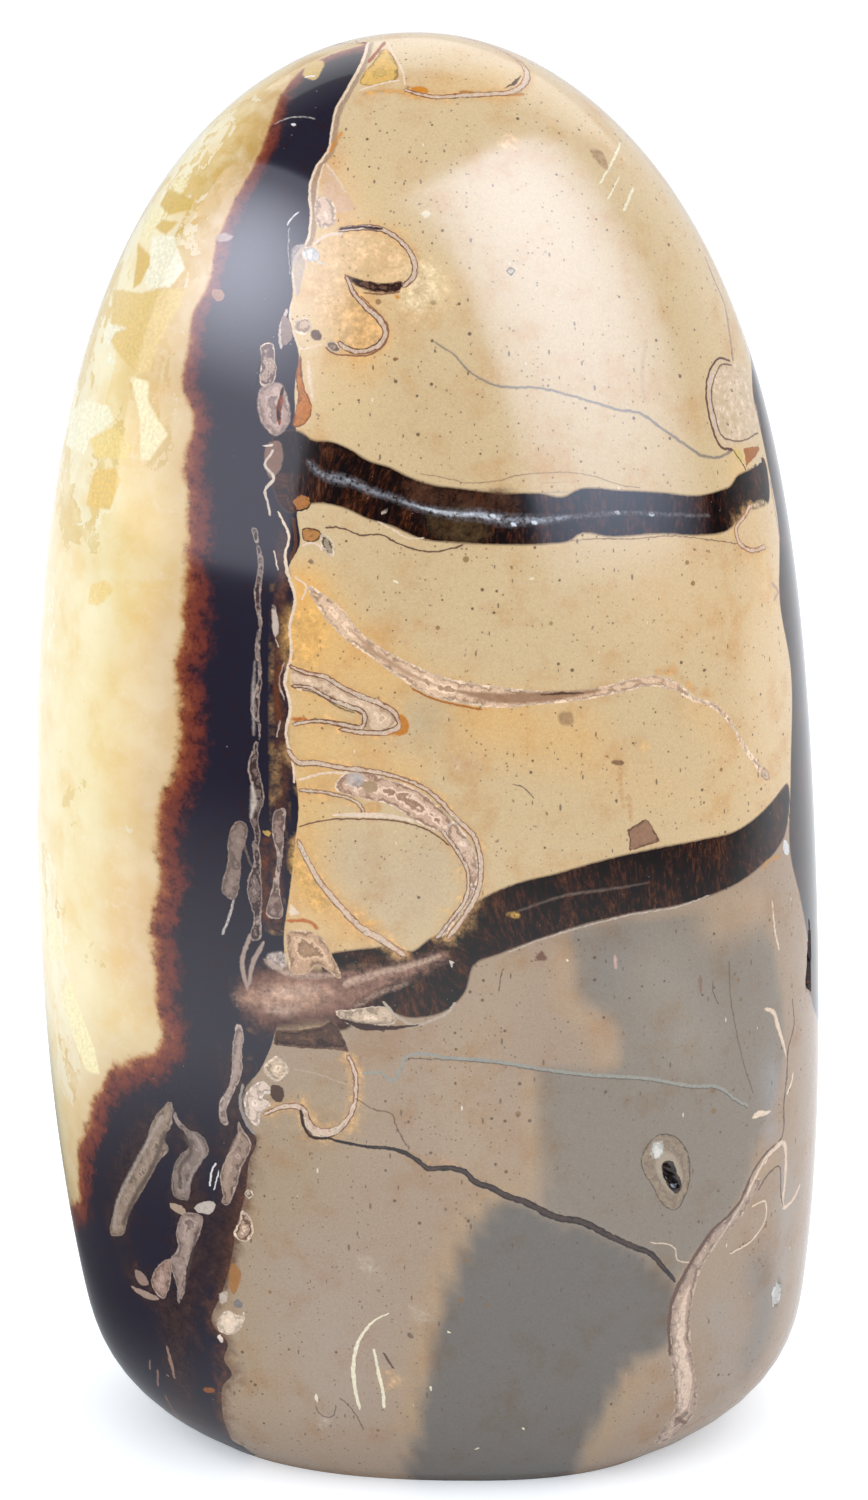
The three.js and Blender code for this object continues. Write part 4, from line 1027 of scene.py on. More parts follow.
for points, wide, core, rim in (
    (((-178, 112), (172, 114), (162, 111), (158, 105), (166, 100), (178, 101)), (0.3, 0.4, 0.3), CREAM,
     (0.22, 0.1, 0.06)),
    (((180, 84), (168, 82), (152, 76), (140, 75), (128, 78), (116, 76)), (0.5, 1.4, 1.6, 1.0, 0.6),
     (0.62, 0.47, 0.34), CREAM),
    (((178, 72), (166, 74), (160, 70), (166, 66), (178, 67)), (0.3, 0.45, 0.3), CREAM, (0.22, 0.1, 0.06)),
    (((180, 58), (166, 62), (152, 66), (144, 62), (148, 56), (160, 54)), (0.3, 0.5, 0.4), CREAM,
     (0.26, 0.14, 0.09)),
    (((178, 34), (164, 32), (150, 34), (138, 30), (124, 24), (112, 22)), (0.25, 0.45, 0.5, 0.3),
     (0.15, 0.09, 0.065), BLACK),
    (((170, 40), (154, 42), (138, 40), (120, 43), (104, 42)), 0.35, (0.34, 0.335, 0.29), (0.2, 0.18, 0.16)),
    (((100, 34), (108, 28), (112, 18), (118, 8), (122, 1)), (0.8, 2.0, 2.4, 1.8), (0.44, 0.355, 0.29),
     (0.66, 0.5, 0.38)),
    (((108, 28), (100, 24), (94, 16)), (0.6, 0.4), CREAM, (0.15, 0.08, 0.06)),
    (((150, 128), (140, 122), (130, 116), (124, 106)), (0.2, 0.35, 0.2), (0.26, 0.22, 0.19),
     (0.2, 0.16, 0.13)),
    (((120, 132), (112, 126), (108, 118)), (0.3, 0.4, 0.2), CREAM, (0.22, 0.1, 0.06)),
    (((170, 122), (160, 126), (150, 124), (146, 119), (152, 116)), (0.3, 0.4, 0.25), CREAM,
     (0.22, 0.1, 0.06)),
    (((176, 22), (168, 18), (160, 22), (162, 28), (172, 29)), (0.3, 0.5, 0.3), CREAM, (0.22, 0.1, 0.06)),
    (((150, 18), (146, 12), (140, 10), (136, 14)), 0.2, SCRATCH, SCRATCH),
    (((132, 90), (126, 86), (122, 88)), 0.2, (0.2, 0.11, 0.07), (0.2, 0.11, 0.07)),
):
    vein(points, wide, core, rim, 0.1, place=round_at)
# two ribbons wander up the band
RIBBON_HEIGHTS = range(8, 124, 7)
for share, colour in ((0.0, (0.33, 0.25, 0.21)), (0.45, (0.27, 0.19, 0.16))):
    ribbon = []
    for z in RIBBON_HEIGHTS:
        bend = 2.2 * math.sin(0.09 * z + 7 * share) + 1.3 * math.sin(0.23 * z + 19 * share)
        ribbon.append((-177 + 16 * share + bend, z))
    vein(ribbon, (0.3, 0.8, 0.4, 0.9, 0.5, 0.8, 0.3), colour, CREAM, 0.14, place=round_at)

# ---------------------------------------------------------------- the open places
# A little vug lined with crystals, the open crack of the right flank and one crystal chipped out.

patch(((66, 113.4), (67.5, 113.6), (68.7, 115), (69.05, 117), (68.8, 118.9), (67.5, 121), (66.7, 120.8),
       (65.2, 118.6), (64.1, 116), (64.6, 114.7)), (0.37, 0.28, 0.19), (0.10, 0.07, 0.055), 0.12)
patch(((65.2, 114.2), (66.3, 113.9), (66.5, 115.4), (65.7, 116.2), (65, 115.4)), (0.80, 0.78, 0.72),
      (0.5, 0.42, 0.34), 0.15, bent=False)
patch(((65.6, 116.2), (66.8, 115.2), (67.9, 116.4), (68.2, 118.4), (67.6, 119.4), (66.5, 118.6)),
      (0.42, 0.34, 0.25), soft=0.24)
# the vug's near-black middle is painted shade deep in the hollow
patch(((66.2, 116.3), (67, 116.0), (67.8, 117.5), (68.2, 118.8), (67.7, 119.4), (66.8, 118.6),
       (66.3, 117.5)), (0.02, 0.012, 0.01), (0.30, 0.20, 0.12), 0.06)
patch(((77.9, 127.9), (78.2, 128.6), (78, 130), (77.3, 131.2), (77.1, 129.2)), (0.80, 0.80, 0.78),
      (0.30, 0.25, 0.2), 0.12, bent=False)
HOLLOWS = (
    # middle, half length, half width, depth, slant from upright
    (on_front(((67.15, 117.75),))[0], 1.55, 0.5, 2.4, -24),
    (on_front(((80.95, 96.0),))[0], 3.7, 0.5, 1.1, 2),
    (on_front(((77.7, 129.5),))[0], 1.5, 0.55, 0.6, 10),
)
HOLLOW_WANDER = 0.22  # how far a hollow's outline wanders, as a share of its size
HOLLOW_NEAR = 6.0  # spots farther than this above or under the hollow's middle are on another side


def hollowed(spots):
    """How deep each spot is sunk into one of the open places."""
    sunk = np.zeros(len(spots))
    for middle, long, wide, deep, slant in HOLLOWS:
        straight = facing(middle[None, :])[0]
        upright = np.array((0.0, 0.0, 1.0)) - straight * straight[2]
        upright /= np.linalg.norm(upright)
        sideways = np.cross(upright, straight)
        turn = math.radians(slant)
        lengthwise = upright * math.cos(turn) + sideways * math.sin(turn)
        crosswise = np.cross(lengthwise, straight)
        offset = spots - middle
        u = offset @ lengthwise / long
        v = offset @ crosswise / wide
        wander = np.sin(5.1 * u + 2.1) * np.sin(3.7 * v - 1.3) + 0.5 * np.sin(11.0 * u + 4.0 * v)
        ring = u**2 + v**2 + HOLLOW_WANDER * wander * np.sqrt(u**2 + v**2)
        here = (ring < 1) & (np.abs(offset @ straight) < HOLLOW_NEAR)
        sunk = np.maximum(sunk, np.where(here, deep * np.sqrt(np.clip(1 - ring, 0, 1)), 0))
    return sunk


# ---------------------------------------------------------------- the mesh of the stone
# A ball of even rows and columns is bent to the body, cut finer along the veins, and settled on the
# polish again. The lowest rows are the flat foot.

COLUMNS = 168
ROWS = 150
FOOT_ROWS = 0.06  # the share of the rows that is the foot
FLAT = 0.02  # spots lower than this are on the foot's flat face
ON_RIM = 0.02  # and of those, the ones with a smaller outside than this are on its rim
HAZY = 0.25  # a mark softer than this is worked out at the corners themselves
CUTS = ((0.95, 0.4), (0.48, 0.3))  # how near a mark a face is cut, and the face size that is left alone


def corner_spots():
    return np.array([vert.co for vert in body.verts])


def move_corners(spots):
    for vert, spot in zip(body.verts, spots):
        vert.co = Vector(spot)


body = bmesh.new()
bmesh.ops.create_uvsphere(body, u_segments=COLUMNS, v_segments=ROWS, radius=1.0)
ball = corner_spots()
climb = 1 - np.arccos(np.clip(ball[:, 2], -1, 1)) / math.pi
upright = np.clip((climb - FOOT_ROWS) / (1 - FOOT_ROWS), 0, 1)
level = HEIGHT * np.sin(upright * math.pi / 2)
foot_share = np.clip(climb / FOOT_ROWS, 0, 1)
dome = np.sqrt(np.clip(1 - (level / HEIGHT) ** CROWN_POWER, 0, 1)) * foot_share
bearing = np.arctan2(ball[:, 1], ball[:, 0])
move_corners(section_spots(np.cos(bearing), np.sin(bearing), level, dome))

sharp_runs = [mark["run"] for mark in marks if mark["soft"] < HAZY]
sharp_runs += [wall_a, wall_b] + [outline for outline, _ in dark_veins]
tree = KDTree(sum(len(run) for run in sharp_runs))
for count, spot in enumerate(np.vstack(sharp_runs)):
    tree.insert(spot, count)
tree.balance()
for near_enough, small in CUTS:
    busy = set()
    for face in body.faces:
        if tree.find(face.calc_center_median())[2] < near_enough and face.calc_area() > small**2:
            busy.update(face.edges)
    bmesh.ops.subdivide_edges(body, edges=list(busy), cuts=1, use_grid_fill=True)
    many_sided = [face for face in body.faces if len(face.verts) > 4]
    bmesh.ops.triangulate(body, faces=many_sided)
    spots = corner_spots()
    above_foot = spots[:, 2] > FLAT
    spots[above_foot] = settled(spots[above_foot], 2)
    spots[:, 2] = np.clip(spots[:, 2], 0, HEIGHT)
    move_corners(spots)
bmesh.ops.recalc_face_normals(body, faces=body.faces)

spots = corner_spots()
underside = spots[:, 2] < FLAT
on_rim = underside & (np.abs(outside(spots)) < ON_RIM)
out = facing(spots)
out[underside & ~on_rim] = (0, 0, -1)
sunk = np.where(underside, 0, hollowed(spots))
move_corners((spots - out * sunk[:, None]) * MM)
mesh = bpy.data.meshes.new("nodule")
body.to_mesh(mesh)
body.free()
mesh.shade_smooth()
own = np.array([vert.normal for vert in mesh.vertices])
mesh.normals_split_custom_set_from_vertices(np.where(sunk[:, None] > 0, own, out).tolist())
nodule = bpy.data.objects.new("nodule", mesh)
bpy.context.scene.collection.objects.link(nodule)

# ---------------------------------------------------------------- telling the mesh where the veins lie
# Every corner is given its distances to the walls, the dark veins and the marks, so that their edges
# stay sharp between corners. Marks that overlap go to higher layers.

WELL_PAST = 30.0  # millimetres past wall A that the whole underside counts as
NO_VEIN = -9.0  # the distance of a spot that has no dark vein near it
VEIN_MARGIN = 2.0
CROWN_FROM = 92.0  # from here up, and over the height that follows, the amber fringe grows narrow
CROWN_OVER = 32.0
PALER = 1.6  # colours are stored this much paler than they are, and the finish darkens them unevenly
CLOUD_REACH = 2.4  # spreads from its line out to which a cloud is worked out
FADE_REACH = 1.5  # the same for a mark's soft edge
FILLED = 50.0  # a filled outline counts as a line of this half width
END_TAPER = 1.2  # how fast a line thins past its end
SHOWS = 0.3  # a mark may show this far past its edge
NO_MARK = (0.0, -3.0, 0.0)


def charted(spots, middle):
    """Bearing and height of each spot, with the bearing's seam opposite the middle bearing."""
    x = spots[:, 0] - axis_at(spots[:, 2])
    y = spots[:, 1] - AXIS_BACK
    u = x / np.where(x < 0, reach("left", spots[:, 2]), reach("right", spots[:, 2]))
    v = y / np.where(y < 0, reach("front", spots[:, 2]), reach("back", spots[:, 2]))
    turn = np.degrees(np.arctan2(u, -v))
    return np.stack(((turn - middle + 180) % 360 - 180 + middle, spots[:, 2]), axis=1)


def within(spots, run):
    """Whether each spot lies inside a closed run."""
    first = np.degrees(np.arctan2(*(facing(run)[:, :2] * (1, -1)).sum(axis=0)))
    shape = charted(run, first)
    chart = charted(spots, first)
    inside = np.zeros(len(spots), bool)
    for (x0, y0), (x1, y1) in zip(shape, np.roll(shape, -1, axis=0)):
        if y0 != y1:
            spans = (y0 > chart[:, 1]) != (y1 > chart[:, 1])
            inside ^= spans & (chart[:, 0] < x0 + (chart[:, 1] - y0) * (x1 - x0) / (y1 - y0))
    return inside


def close_by(run, margin):
    """The numbers of the spots in a box round a run."""
    low = run.min(axis=0) - margin
    high = run.max(axis=0) + margin
    return np.nonzero(((spots > low) & (spots < high)).all(axis=1))[0]


def inside_of(chosen, run):
    """Signed distance of the chosen spots to a closed run, above nought inside."""
    gap = np.abs(measured(spots[chosen], out[chosen], run, True)[0])
    return np.where(within(spots[chosen], run), gap, -gap)


def gap_to(chosen, run):
    """Distance of the chosen spots to the points of a run."""
    gap = np.empty(len(chosen))
    for first in range(0, len(chosen), BATCH):
        some = spots[chosen[first:first + BATCH]]
        square = ((some[:, None, :] - run[None, ::2, :]) ** 2).sum(axis=2)
        gap[first:first + BATCH] = np.sqrt(square.min(axis=1))
    return gap


def faded(inside, soft):
    """From nought outside to one inside, over twice the softness."""
    share = np.clip(0.5 + inside / (2 * soft), 0, 1)
    return share**2 * (3 - 2 * share)


def store(name, kind, values):
    attribute = mesh.attributes.new(name, kind, "POINT")
    key = "vector" if kind == "FLOAT_VECTOR" else "color"
    attribute.data.foreach_set(key, np.ascontiguousarray(values, np.float32).ravel())


everywhere = np.arange(len(spots))
past_a = -inside_of(everywhere, wall_a)
past_b = -inside_of(everywhere, wall_b)
past_b[underside] = measured(spots[underside], out[underside], wall_b, True)[0]
past_a[underside] = WELL_PAST
crown = np.clip((spots[:, 2] - CROWN_FROM) / CROWN_OVER, 0, 1)
store("walls", "FLOAT_VECTOR", np.stack((past_a, past_b, crown), axis=1))

flow = np.zeros((len(spots), 3))
flow[:, 0] = NO_VEIN
for outline, middle in dark_veins:
    chosen = close_by(outline, VEIN_MARGIN)
    inside = inside_of(chosen, outline)
    across, along, _ = measured(spots[chosen], out[chosen], middle, False)
    better = inside > flow[chosen, 0]
    flow[chosen[better]] = np.stack((inside, along, across), axis=1)[better]
store("dark_vein", "FLOAT_VECTOR", flow)

for kind, base in (("limestone", TAN), ("calcite", CREAM_CALCITE), ("crystals", (0.03, 0.04, 0.0))):
    colour = np.tile(np.array(base), (len(spots), 1))
    for cloud in tones[kind]:
        spread = cloud["spread"]
        if cloud["filled"]:
            chosen = everywhere
            weight = faded(inside_of(chosen, cloud["run"]), spread)
        else:
            chosen = close_by(cloud["run"], CLOUD_REACH * spread)
            weight = np.exp(-((gap_to(chosen, cloud["run"]) / spread) ** 2))
        weight = (weight * cloud["share"])[:, None]
        colour[chosen] = colour[chosen] * (1 - weight) + np.array(cloud["colour"]) * weight
    store(kind, "FLOAT_COLOR", np.hstack((colour * PALER, np.ones((len(spots), 1)))))

hazes = np.zeros((len(spots), 4))
shown_layer = np.zeros(len(spots), int)  # one above the highest layer that shows at each corner
taken = []  # for each layer, the corners that its marks keep others of the layer away from
layers = []
for mark in marks:
    run = mark["run"]
    wide = mark["wide"]
    blur = FADE_REACH * mark["soft"]
    if wide is None:
        chosen = close_by(run, CLAIM + blur + 0.1)
        inside = inside_of(chosen, run)
        half = np.full(len(chosen), FILLED)
        across = half - inside
    else:
        chosen = close_by(run, CLAIM + blur + wide.max() / 2 + 0.1)
        across, along, past = measured(spots[chosen], out[chosen], run, False)
        total = np.linalg.norm(np.diff(run, axis=0), axis=1).sum()
        half = np.interp(along / total, np.linspace(0, 1, len(wide)), wide) / 2 - END_TAPER * past
        inside = half - np.abs(across)
    if mark["soft"] >= HAZY:
        weight = faded(inside, mark["soft"]) * mark["veil"]
        before = hazes[chosen, 3] * (1 - weight)
        newer = np.where(before + weight > 0, weight / np.maximum(before + weight, 1e-9), 1.0)[:, None]
        hazes[chosen, :3] = hazes[chosen, :3] * (1 - newer) + np.array(mark["core"]) * newer
        hazes[chosen, 3] = before + weight
        continue
    claimed = chosen[inside > -CLAIM - blur]
    near = inside > -NEAR - blur
    shows = chosen[inside > -SHOWS - mark["soft"]]
    if not len(claimed):
        continue
    layer = shown_layer[shows].max() if len(shows) else 0
    while layer < len(taken) and taken[layer][claimed].any():
        layer += 1
    if layer == len(taken):
        taken.append(np.zeros(len(spots), bool))
        bare = np.zeros((len(spots), 4))
        layers.append((np.tile(NO_MARK, (len(spots), 1)), bare, bare.copy()))
    taken[layer][claimed] = True
    shown_layer[shows] = np.maximum(shown_layer[shows], layer + 1)
    route, core, rims = layers[layer]
    route[chosen[near]] = np.stack((across, half, np.full(len(half), mark["veil"])), axis=1)[near]
    core[chosen[near]] = (*(PALER * np.array(mark["core"])), mark["soft"])
    rims[chosen[near]] = (*(PALER * np.array(mark["rim"])), mark["rim_wide"])
hazes[:, :3] *= PALER
store("haze", "FLOAT_COLOR", hazes)
for number, (route, core, rims) in enumerate(layers):
    store(f"route_{number}", "FLOAT_VECTOR", route)
    store(f"core_{number}", "FLOAT_COLOR", core)
    store(f"rim_{number}", "FLOAT_COLOR", rims)

# ---------------------------------------------------------------- the finish of the stone
# One polished surface over everything. The colours come from what each place is made of: limestone with
# fine dark specks, cleaved calcite, the dark fibrous band and veins, and the marks on top; painted glints,
# and painted highlights and shade on some marks, are laid in the colour too. So many layers nearly fill the
# shader's memory that no node may need a conversion or a clamp.

BRIGHTNESS = 0.75  # the paint's share of the look, because the lamps together are brighter than one


def put(tree, kind, inputs=(), **settings):
    """A new node with its settings, whose inputs are linked to sockets or given values."""
    new = tree.nodes.new("ShaderNode" + kind)
    for name, value in settings.items():
        setattr(new, name, value)
    for key, value in dict(inputs).items():
        if isinstance(value, bpy.types.NodeSocket):
            tree.links.new(value, new.inputs[key])
        else:
            new.inputs[key].default_value = value
    return new


def maths(tree, operation, *terms):
    return put(tree, "Math", enumerate(terms), operation=operation).outputs[0]


def plus(tree, one, other):
    return maths(tree, "ADD", one, other)


def minus(tree, one, other):
    return maths(tree, "SUBTRACT", one, other)


def times(tree, one, other):
    return maths(tree, "MULTIPLY", one, other)


def sloped(tree, value, slope, start):
    return maths(tree, "MULTIPLY_ADD", value, slope, start)


def rest(tree, share):
    """What a share leaves of one."""
    return maths(tree, "SUBTRACT", 1.0, share)


def mixed(tree, share, under, over, blend="MIX"):
    new = put(tree, "Mix", {0: share, 6: under, 7: over}, data_type="RGBA", blend_type=blend)
    return new.outputs[2]


def dimmed(tree, colour, share):
    """The colour at a share of its strength, given paler by PALER."""
    return mixed(tree, sloped(tree, share, -1 / PALER, 1.0), colour, (0, 0, 0, 1))


def eased(tree, value, low, high):
    """From nought at low to one at high, with soft ends."""
    new = put(tree, "MapRange", {0: value, 1: low, 2: high}, interpolation_type="SMOOTHSTEP", clamp=False)
    return new.outputs[0]


def spanned(tree, value, low, high):
    """Nought at low and one at high, and past both in the same measure."""
    return put(tree, "MapRange", {0: value, 1: low, 2: high}, clamp=False).outputs[0]


def channels(tree, colour):
    return put(tree, "SeparateColor", {0: colour}).outputs


def noise(tree, vector, scale, detail=2.0, roughness=0.5, output="Fac"):
    new = put(tree, "TexNoise", {"Vector": vector, "Scale": scale, "Detail": detail, "Roughness": roughness})
    return new.outputs[output]


def ramp(tree, value, stops):
    new = put(tree, "ValToRGB", {0: value})
    for count, (position, colour) in enumerate(stops):
        stop = new.color_ramp.elements[count] if count < 2 else new.color_ramp.elements.new(position)
        stop.position = position
        stop.color = (*colour, 1.0)
    return new.outputs[0]


def group(name, inputs, outputs):
    tree = bpy.data.node_groups.new(name, "ShaderNodeTree")
    for label, kind in inputs:
        tree.interface.new_socket(label, in_out="INPUT", socket_type="NodeSocket" + kind)
    for label, kind in outputs:
        tree.interface.new_socket(label, in_out="OUTPUT", socket_type="NodeSocket" + kind)
    return tree, tree.nodes.new("NodeGroupInput").outputs, tree.nodes.new("NodeGroupOutput").inputs


# one layer of marks, laid over what is under it
drawn, given, result = group(
    "drawn marks",
    (("Under", "Color"), ("Route", "Color"), ("Core", "Color"), ("Softness", "Float"), ("Rim", "Color"),
     ("Rim width", "Float"), ("Fray", "Float"), ("Grain", "Float"), ("Ragged", "Float"), ("Phase", "Float")),
    (("Colour", "Color"),),
)
parts = channels(drawn, given["Route"])
wandered = maths(drawn, "ABSOLUTE", plus(drawn, parts[0], given["Fray"]))
inner = minus(drawn, parts[1], wandered)
blur = maths(drawn, "MAXIMUM", given["Softness"], 0.02)
shown = eased(drawn, inner, times(drawn, blur, -1.0), blur)
# a mark that isn't whole is broken up by the mottling
patchy = times(drawn, rest(drawn, parts[2]), given["Grain"])
shown = times(drawn, shown, plus(drawn, parts[2], patchy))
# streaks run along the mark, because they are read from how far a place is from its middle
strand = sloped(drawn, parts[0], 5.0, given["Phase"])
broad_wave = times(drawn, maths(drawn, "SINE", strand), 0.17)
fine_wave = times(drawn, maths(drawn, "SINE", times(drawn, strand, 2.3)), 0.10)
rimmed = maths(drawn, "MINIMUM", times(drawn, given["Rim width"], 8.0), 1.0)
streak = sloped(drawn, plus(drawn, broad_wave, fine_wave), rimmed, 0.5)
rim_wide = times(drawn, given["Rim width"], given["Ragged"])
rim_inner = minus(drawn, inner, rim_wide)
rim_shown = rest(drawn, eased(drawn, rim_inner, -0.04, 0.04))
rim_shown = times(drawn, rim_shown, rimmed)
# flecks of the rim's colour lie inside too
flecks = times(drawn, eased(drawn, streak, 0.44, 0.70), 0.65)
paint = mixed(drawn, maths(drawn, "MAXIMUM", rim_shown, flecks), given["Core"], given["Rim"])
grey = sloped(drawn, streak, 1.3, sloped(drawn, given["Grain"], 0.1, 0.35))
paint = dimmed(drawn, paint, grey)
drawn.links.new(mixed(drawn, shown, given["Under"], paint), result["Colour"])


def scatter(tree, vector, scale, size, share):
    """Scattered specks: one in so many cells of a loose grid holds one."""
    cells = put(tree, "TexVoronoi", {"Vector": vector, "Scale": scale})
    chance = channels(tree, cells.outputs["Color"])
    wide = sloped(tree, chance[1], 1.1 * size, 0.2 * size)
    near = times(tree, wide, 0.6)
    spot = rest(tree, eased(tree, cells.outputs["Distance"], near, wide))
    return times(tree, spot, maths(tree, "LESS_THAN", chance[0], share))


def laid(tree, vector, turned=(0, 0, 0), stretch=(1, 1, 1), shift=(0, 0, 0)):
    """A place stretched, turned and moved, which stays a point all the way."""
    return put(tree, "Mapping", {0: vector, 1: shift, 2: turned, 3: stretch}).outputs[0]


def told(tree, name):
    """What the mesh says at each place: a Color, and an Alpha where it was given one."""
    return put(tree, "Attribute", attribute_name=name).outputs


material = bpy.data.materials.new("septarian_stone")
material.use_nodes = True
stone = material.node_tree
stone.nodes.clear()
place = put(stone, "TexCoord").outputs["Object"]
place = laid(stone, place, stretch=(1 / MM, 1 / MM, 1 / MM))
walls = channels(stone, told(stone, "walls")["Color"])
vein_parts = channels(stone, told(stone, "dark_vein")["Color"])

fray = times(stone, minus(stone, noise(stone, place, 1.7, 3.0, 0.6), 0.5), 0.34)
mottle = noise(stone, place, 2.8, 3.0, 0.7)
blotch = noise(stone, place, 0.95, 3.0, 0.6)

# limestone
lime = told(stone, "limestone")["Color"]
cloudy = noise(stone, place, 0.2, 5.0, 0.65)
rusty = mixed(stone, 0.6, lime, (0.86, 0.56, 0.26, 1), "MULTIPLY")
lime = mixed(stone, eased(stone, cloudy, 0.46, 0.8), lime, rusty)
grain = noise(stone, place, 4.5, 4.0, 0.8)
lime = dimmed(stone, lime, sloped(stone, grain, 0.6, 0.71))
stretched = laid(stone, place, (0.3, 0.2, 0.9), (1.0, 1.0, 0.35))
for vector, scale, size, share, colour, strength in (
    (place, 0.85, 0.15, 0.40, (0.13, 0.08, 0.05, 1), 0.85),
    (place, 2.1, 0.24, 0.42, (0.20, 0.13, 0.08, 1), 0.65),
    (stretched, 1.5, 0.17, 0.30, (0.14, 0.10, 0.07, 1), 0.75),
    (place, 0.37, 0.11, 0.30, (0.26, 0.14, 0.05, 1), 0.75),
    (stretched, 1.1, 0.11, 0.10, (0.95, 0.88, 0.72, 1), 0.7),
):
    mask = times(stone, scatter(stone, vector, scale, size, share), strength)
    lime = mixed(stone, mask, lime, colour)

# yellow calcite: cleaved crystals, white ones and amber ones among them, and cloudier by the dark band
calcite = dimmed(stone, told(stone, "calcite")["Color"], 1.0)
likely = channels(stone, told(stone, "crystals")["Color"])
jags = channels(stone, noise(stone, place, 0.55, 3.0, 0.65, "Color"))
jags = put(stone, "CombineXYZ", {0: jags[0], 1: jags[1], 2: jags[2]}).outputs[0]
jags = laid(stone, jags, stretch=(3.2, 3.2, 3.2))
cleaved = laid(stone, place, (0.5, 0.35, 0.6), (1.0, 1.0, 0.7), jags)
crystals = put(stone, "TexVoronoi", {"Vector": cleaved, "Scale": 0.24}, distance="MANHATTAN")
facet = channels(stone, crystals.outputs["Color"])
chips = put(stone, "TexVoronoi", {"Vector": cleaved, "Scale": 0.75}, distance="MANHATTAN")
chip = channels(stone, chips.outputs["Color"])
pick = plus(stone, times(stone, facet[0], 0.62), times(stone, chip[0], 0.38))
cleft = sloped(stone, plus(stone, likely[0], likely[1]), 0.4, 0.04)
calcite = mixed(stone, times(stone, facet[1], cleft), calcite, (0.88, 0.58, 0.22, 1))
calcite = mixed(stone, times(stone, chip[1], cleft), calcite, (0.99, 0.90, 0.60, 1))
amber = eased(stone, minus(stone, likely[1], pick), -0.01, 0.01)
calcite = mixed(stone, times(stone, amber, 0.55), calcite, (0.72, 0.50, 0.14, 1))
white = eased(stone, minus(stone, likely[0], rest(stone, pick)), -0.01, 0.01)
calcite = mixed(stone, times(stone, white, 0.75), calcite, (0.97, 0.91, 0.66, 1))
clouds = noise(stone, place, 0.22, 4.0, 0.55)
calcite = mixed(stone, times(stone, eased(stone, clouds, 0.46, 0.72), 0.6), calcite, (0.99, 0.88, 0.58, 1))
calcite = mixed(stone, times(stone, eased(stone, clouds, 0.52, 0.30), 0.5), calcite, (0.90, 0.63, 0.24, 1))
veils = noise(stone, laid(stone, place, (0.0, 0.5, 0.0), (0.12, 0.5, 1.1), jags), 0.8, 4.0, 0.7)
veils = times(stone, eased(stone, veils, 0.52, 0.72), 0.35)
calcite = mixed(stone, veils, calcite, (0.99, 0.90, 0.66, 1))
tinted = ramp(stone, spanned(stone, walls[0], -9.0, 0.0), (
    (0.0, (1.0, 1.0, 1.0)), (0.55, (0.93, 0.88, 0.88)), (1.0, (0.78, 0.68, 0.66)),
))
calcite = mixed(stone, 1.0, calcite, tinted, "MULTIPLY")

# the dark band with its amber fringe: the crystals' tips stand out into the yellow calcite
tips = noise(stone, laid(stone, place, stretch=(0.7, 0.7, 1.0)), 0.42, 4.0, 0.6)
tips = times(stone, minus(stone, tips, 0.5), sloped(stone, walls[2], -2.2, 3.4))
depth = sloped(stone, walls[0], sloped(stone, walls[2], 0.95, 1.15), tips)
wavering = sloped(stone, blotch, 3.6, sloped(stone, mottle, 1.6, -2.6))
wavering = sloped(stone, wavering, eased(stone, depth, -0.6, 1.2), depth)
fringe_share = spanned(stone, wavering, -1.0, 4.3)
band = ramp(stone, fringe_share, (
    (0.0, (0.74, 0.50, 0.24)), (0.11, (0.52, 0.27, 0.11)), (0.18, (0.30, 0.09, 0.04)),
    (0.30, (0.21, 0.05, 0.03)), (0.52, (0.15, 0.035, 0.028)), (0.68, (0.055, 0.022, 0.030)),
    (0.82, (0.021, 0.019, 0.034)),
))
black_spots = times(stone, eased(stone, plus(stone, mottle, blotch), 1.0, 1.26), 0.5)
band = mixed(stone, black_spots, band, (0.035, 0.012, 0.014, 1))
dust = scatter(stone, place, 1.3, 0.09, 0.14)
band = mixed(stone, times(stone, dust, 0.55), band, (0.60, 0.58, 0.60, 1))
in_calcite = rest(stone, eased(stone, depth, -1.3, -0.2))
colour = mixed(stone, in_calcite, band, calcite)
in_lime = eased(stone, plus(stone, walls[1], times(stone, fray, 0.5)), -0.06, 0.06)
colour = mixed(stone, in_lime, colour, lime)

# the dark veins: columns across them, black, red-brown and olive, with scattered painted glints
column_place = put(stone, "CombineXYZ", {0: vein_parts[1], 1: times(stone, vein_parts[2], 0.3)}).outputs[0]
columns = noise(stone, column_place, 2.6, 4.0, 0.75)
broad = noise(stone, column_place, 0.45, 2.0, 0.5)
column_shade = plus(stone, times(stone, columns, 0.65), times(stone, broad, 0.35))
dark = ramp(stone, column_shade, (
    (0.0, (0.004, 0.003, 0.004)), (0.47, (0.007, 0.004, 0.004)), (0.54, (0.040, 0.011, 0.005)),
    (0.62, (0.10, 0.033, 0.012)), (0.74, (0.20, 0.12, 0.06)),
))
painted_glints = scatter(stone, place, 2.4, 0.12, 0.16)
dark = mixed(stone, times(stone, painted_glints, 0.6), dark, (0.42, 0.42, 0.42, 1))
in_vein = eased(stone, plus(stone, vein_parts[0], times(stone, fray, 0.6)), -0.07, 0.07)
edge_line = rest(stone, eased(stone, maths(stone, "ABSOLUTE", vein_parts[0]), 0.05, 0.22))
colour = mixed(stone, times(stone, edge_line, 0.6), colour, (0.10, 0.05, 0.03, 1))
colour = mixed(stone, in_vein, colour, dark)

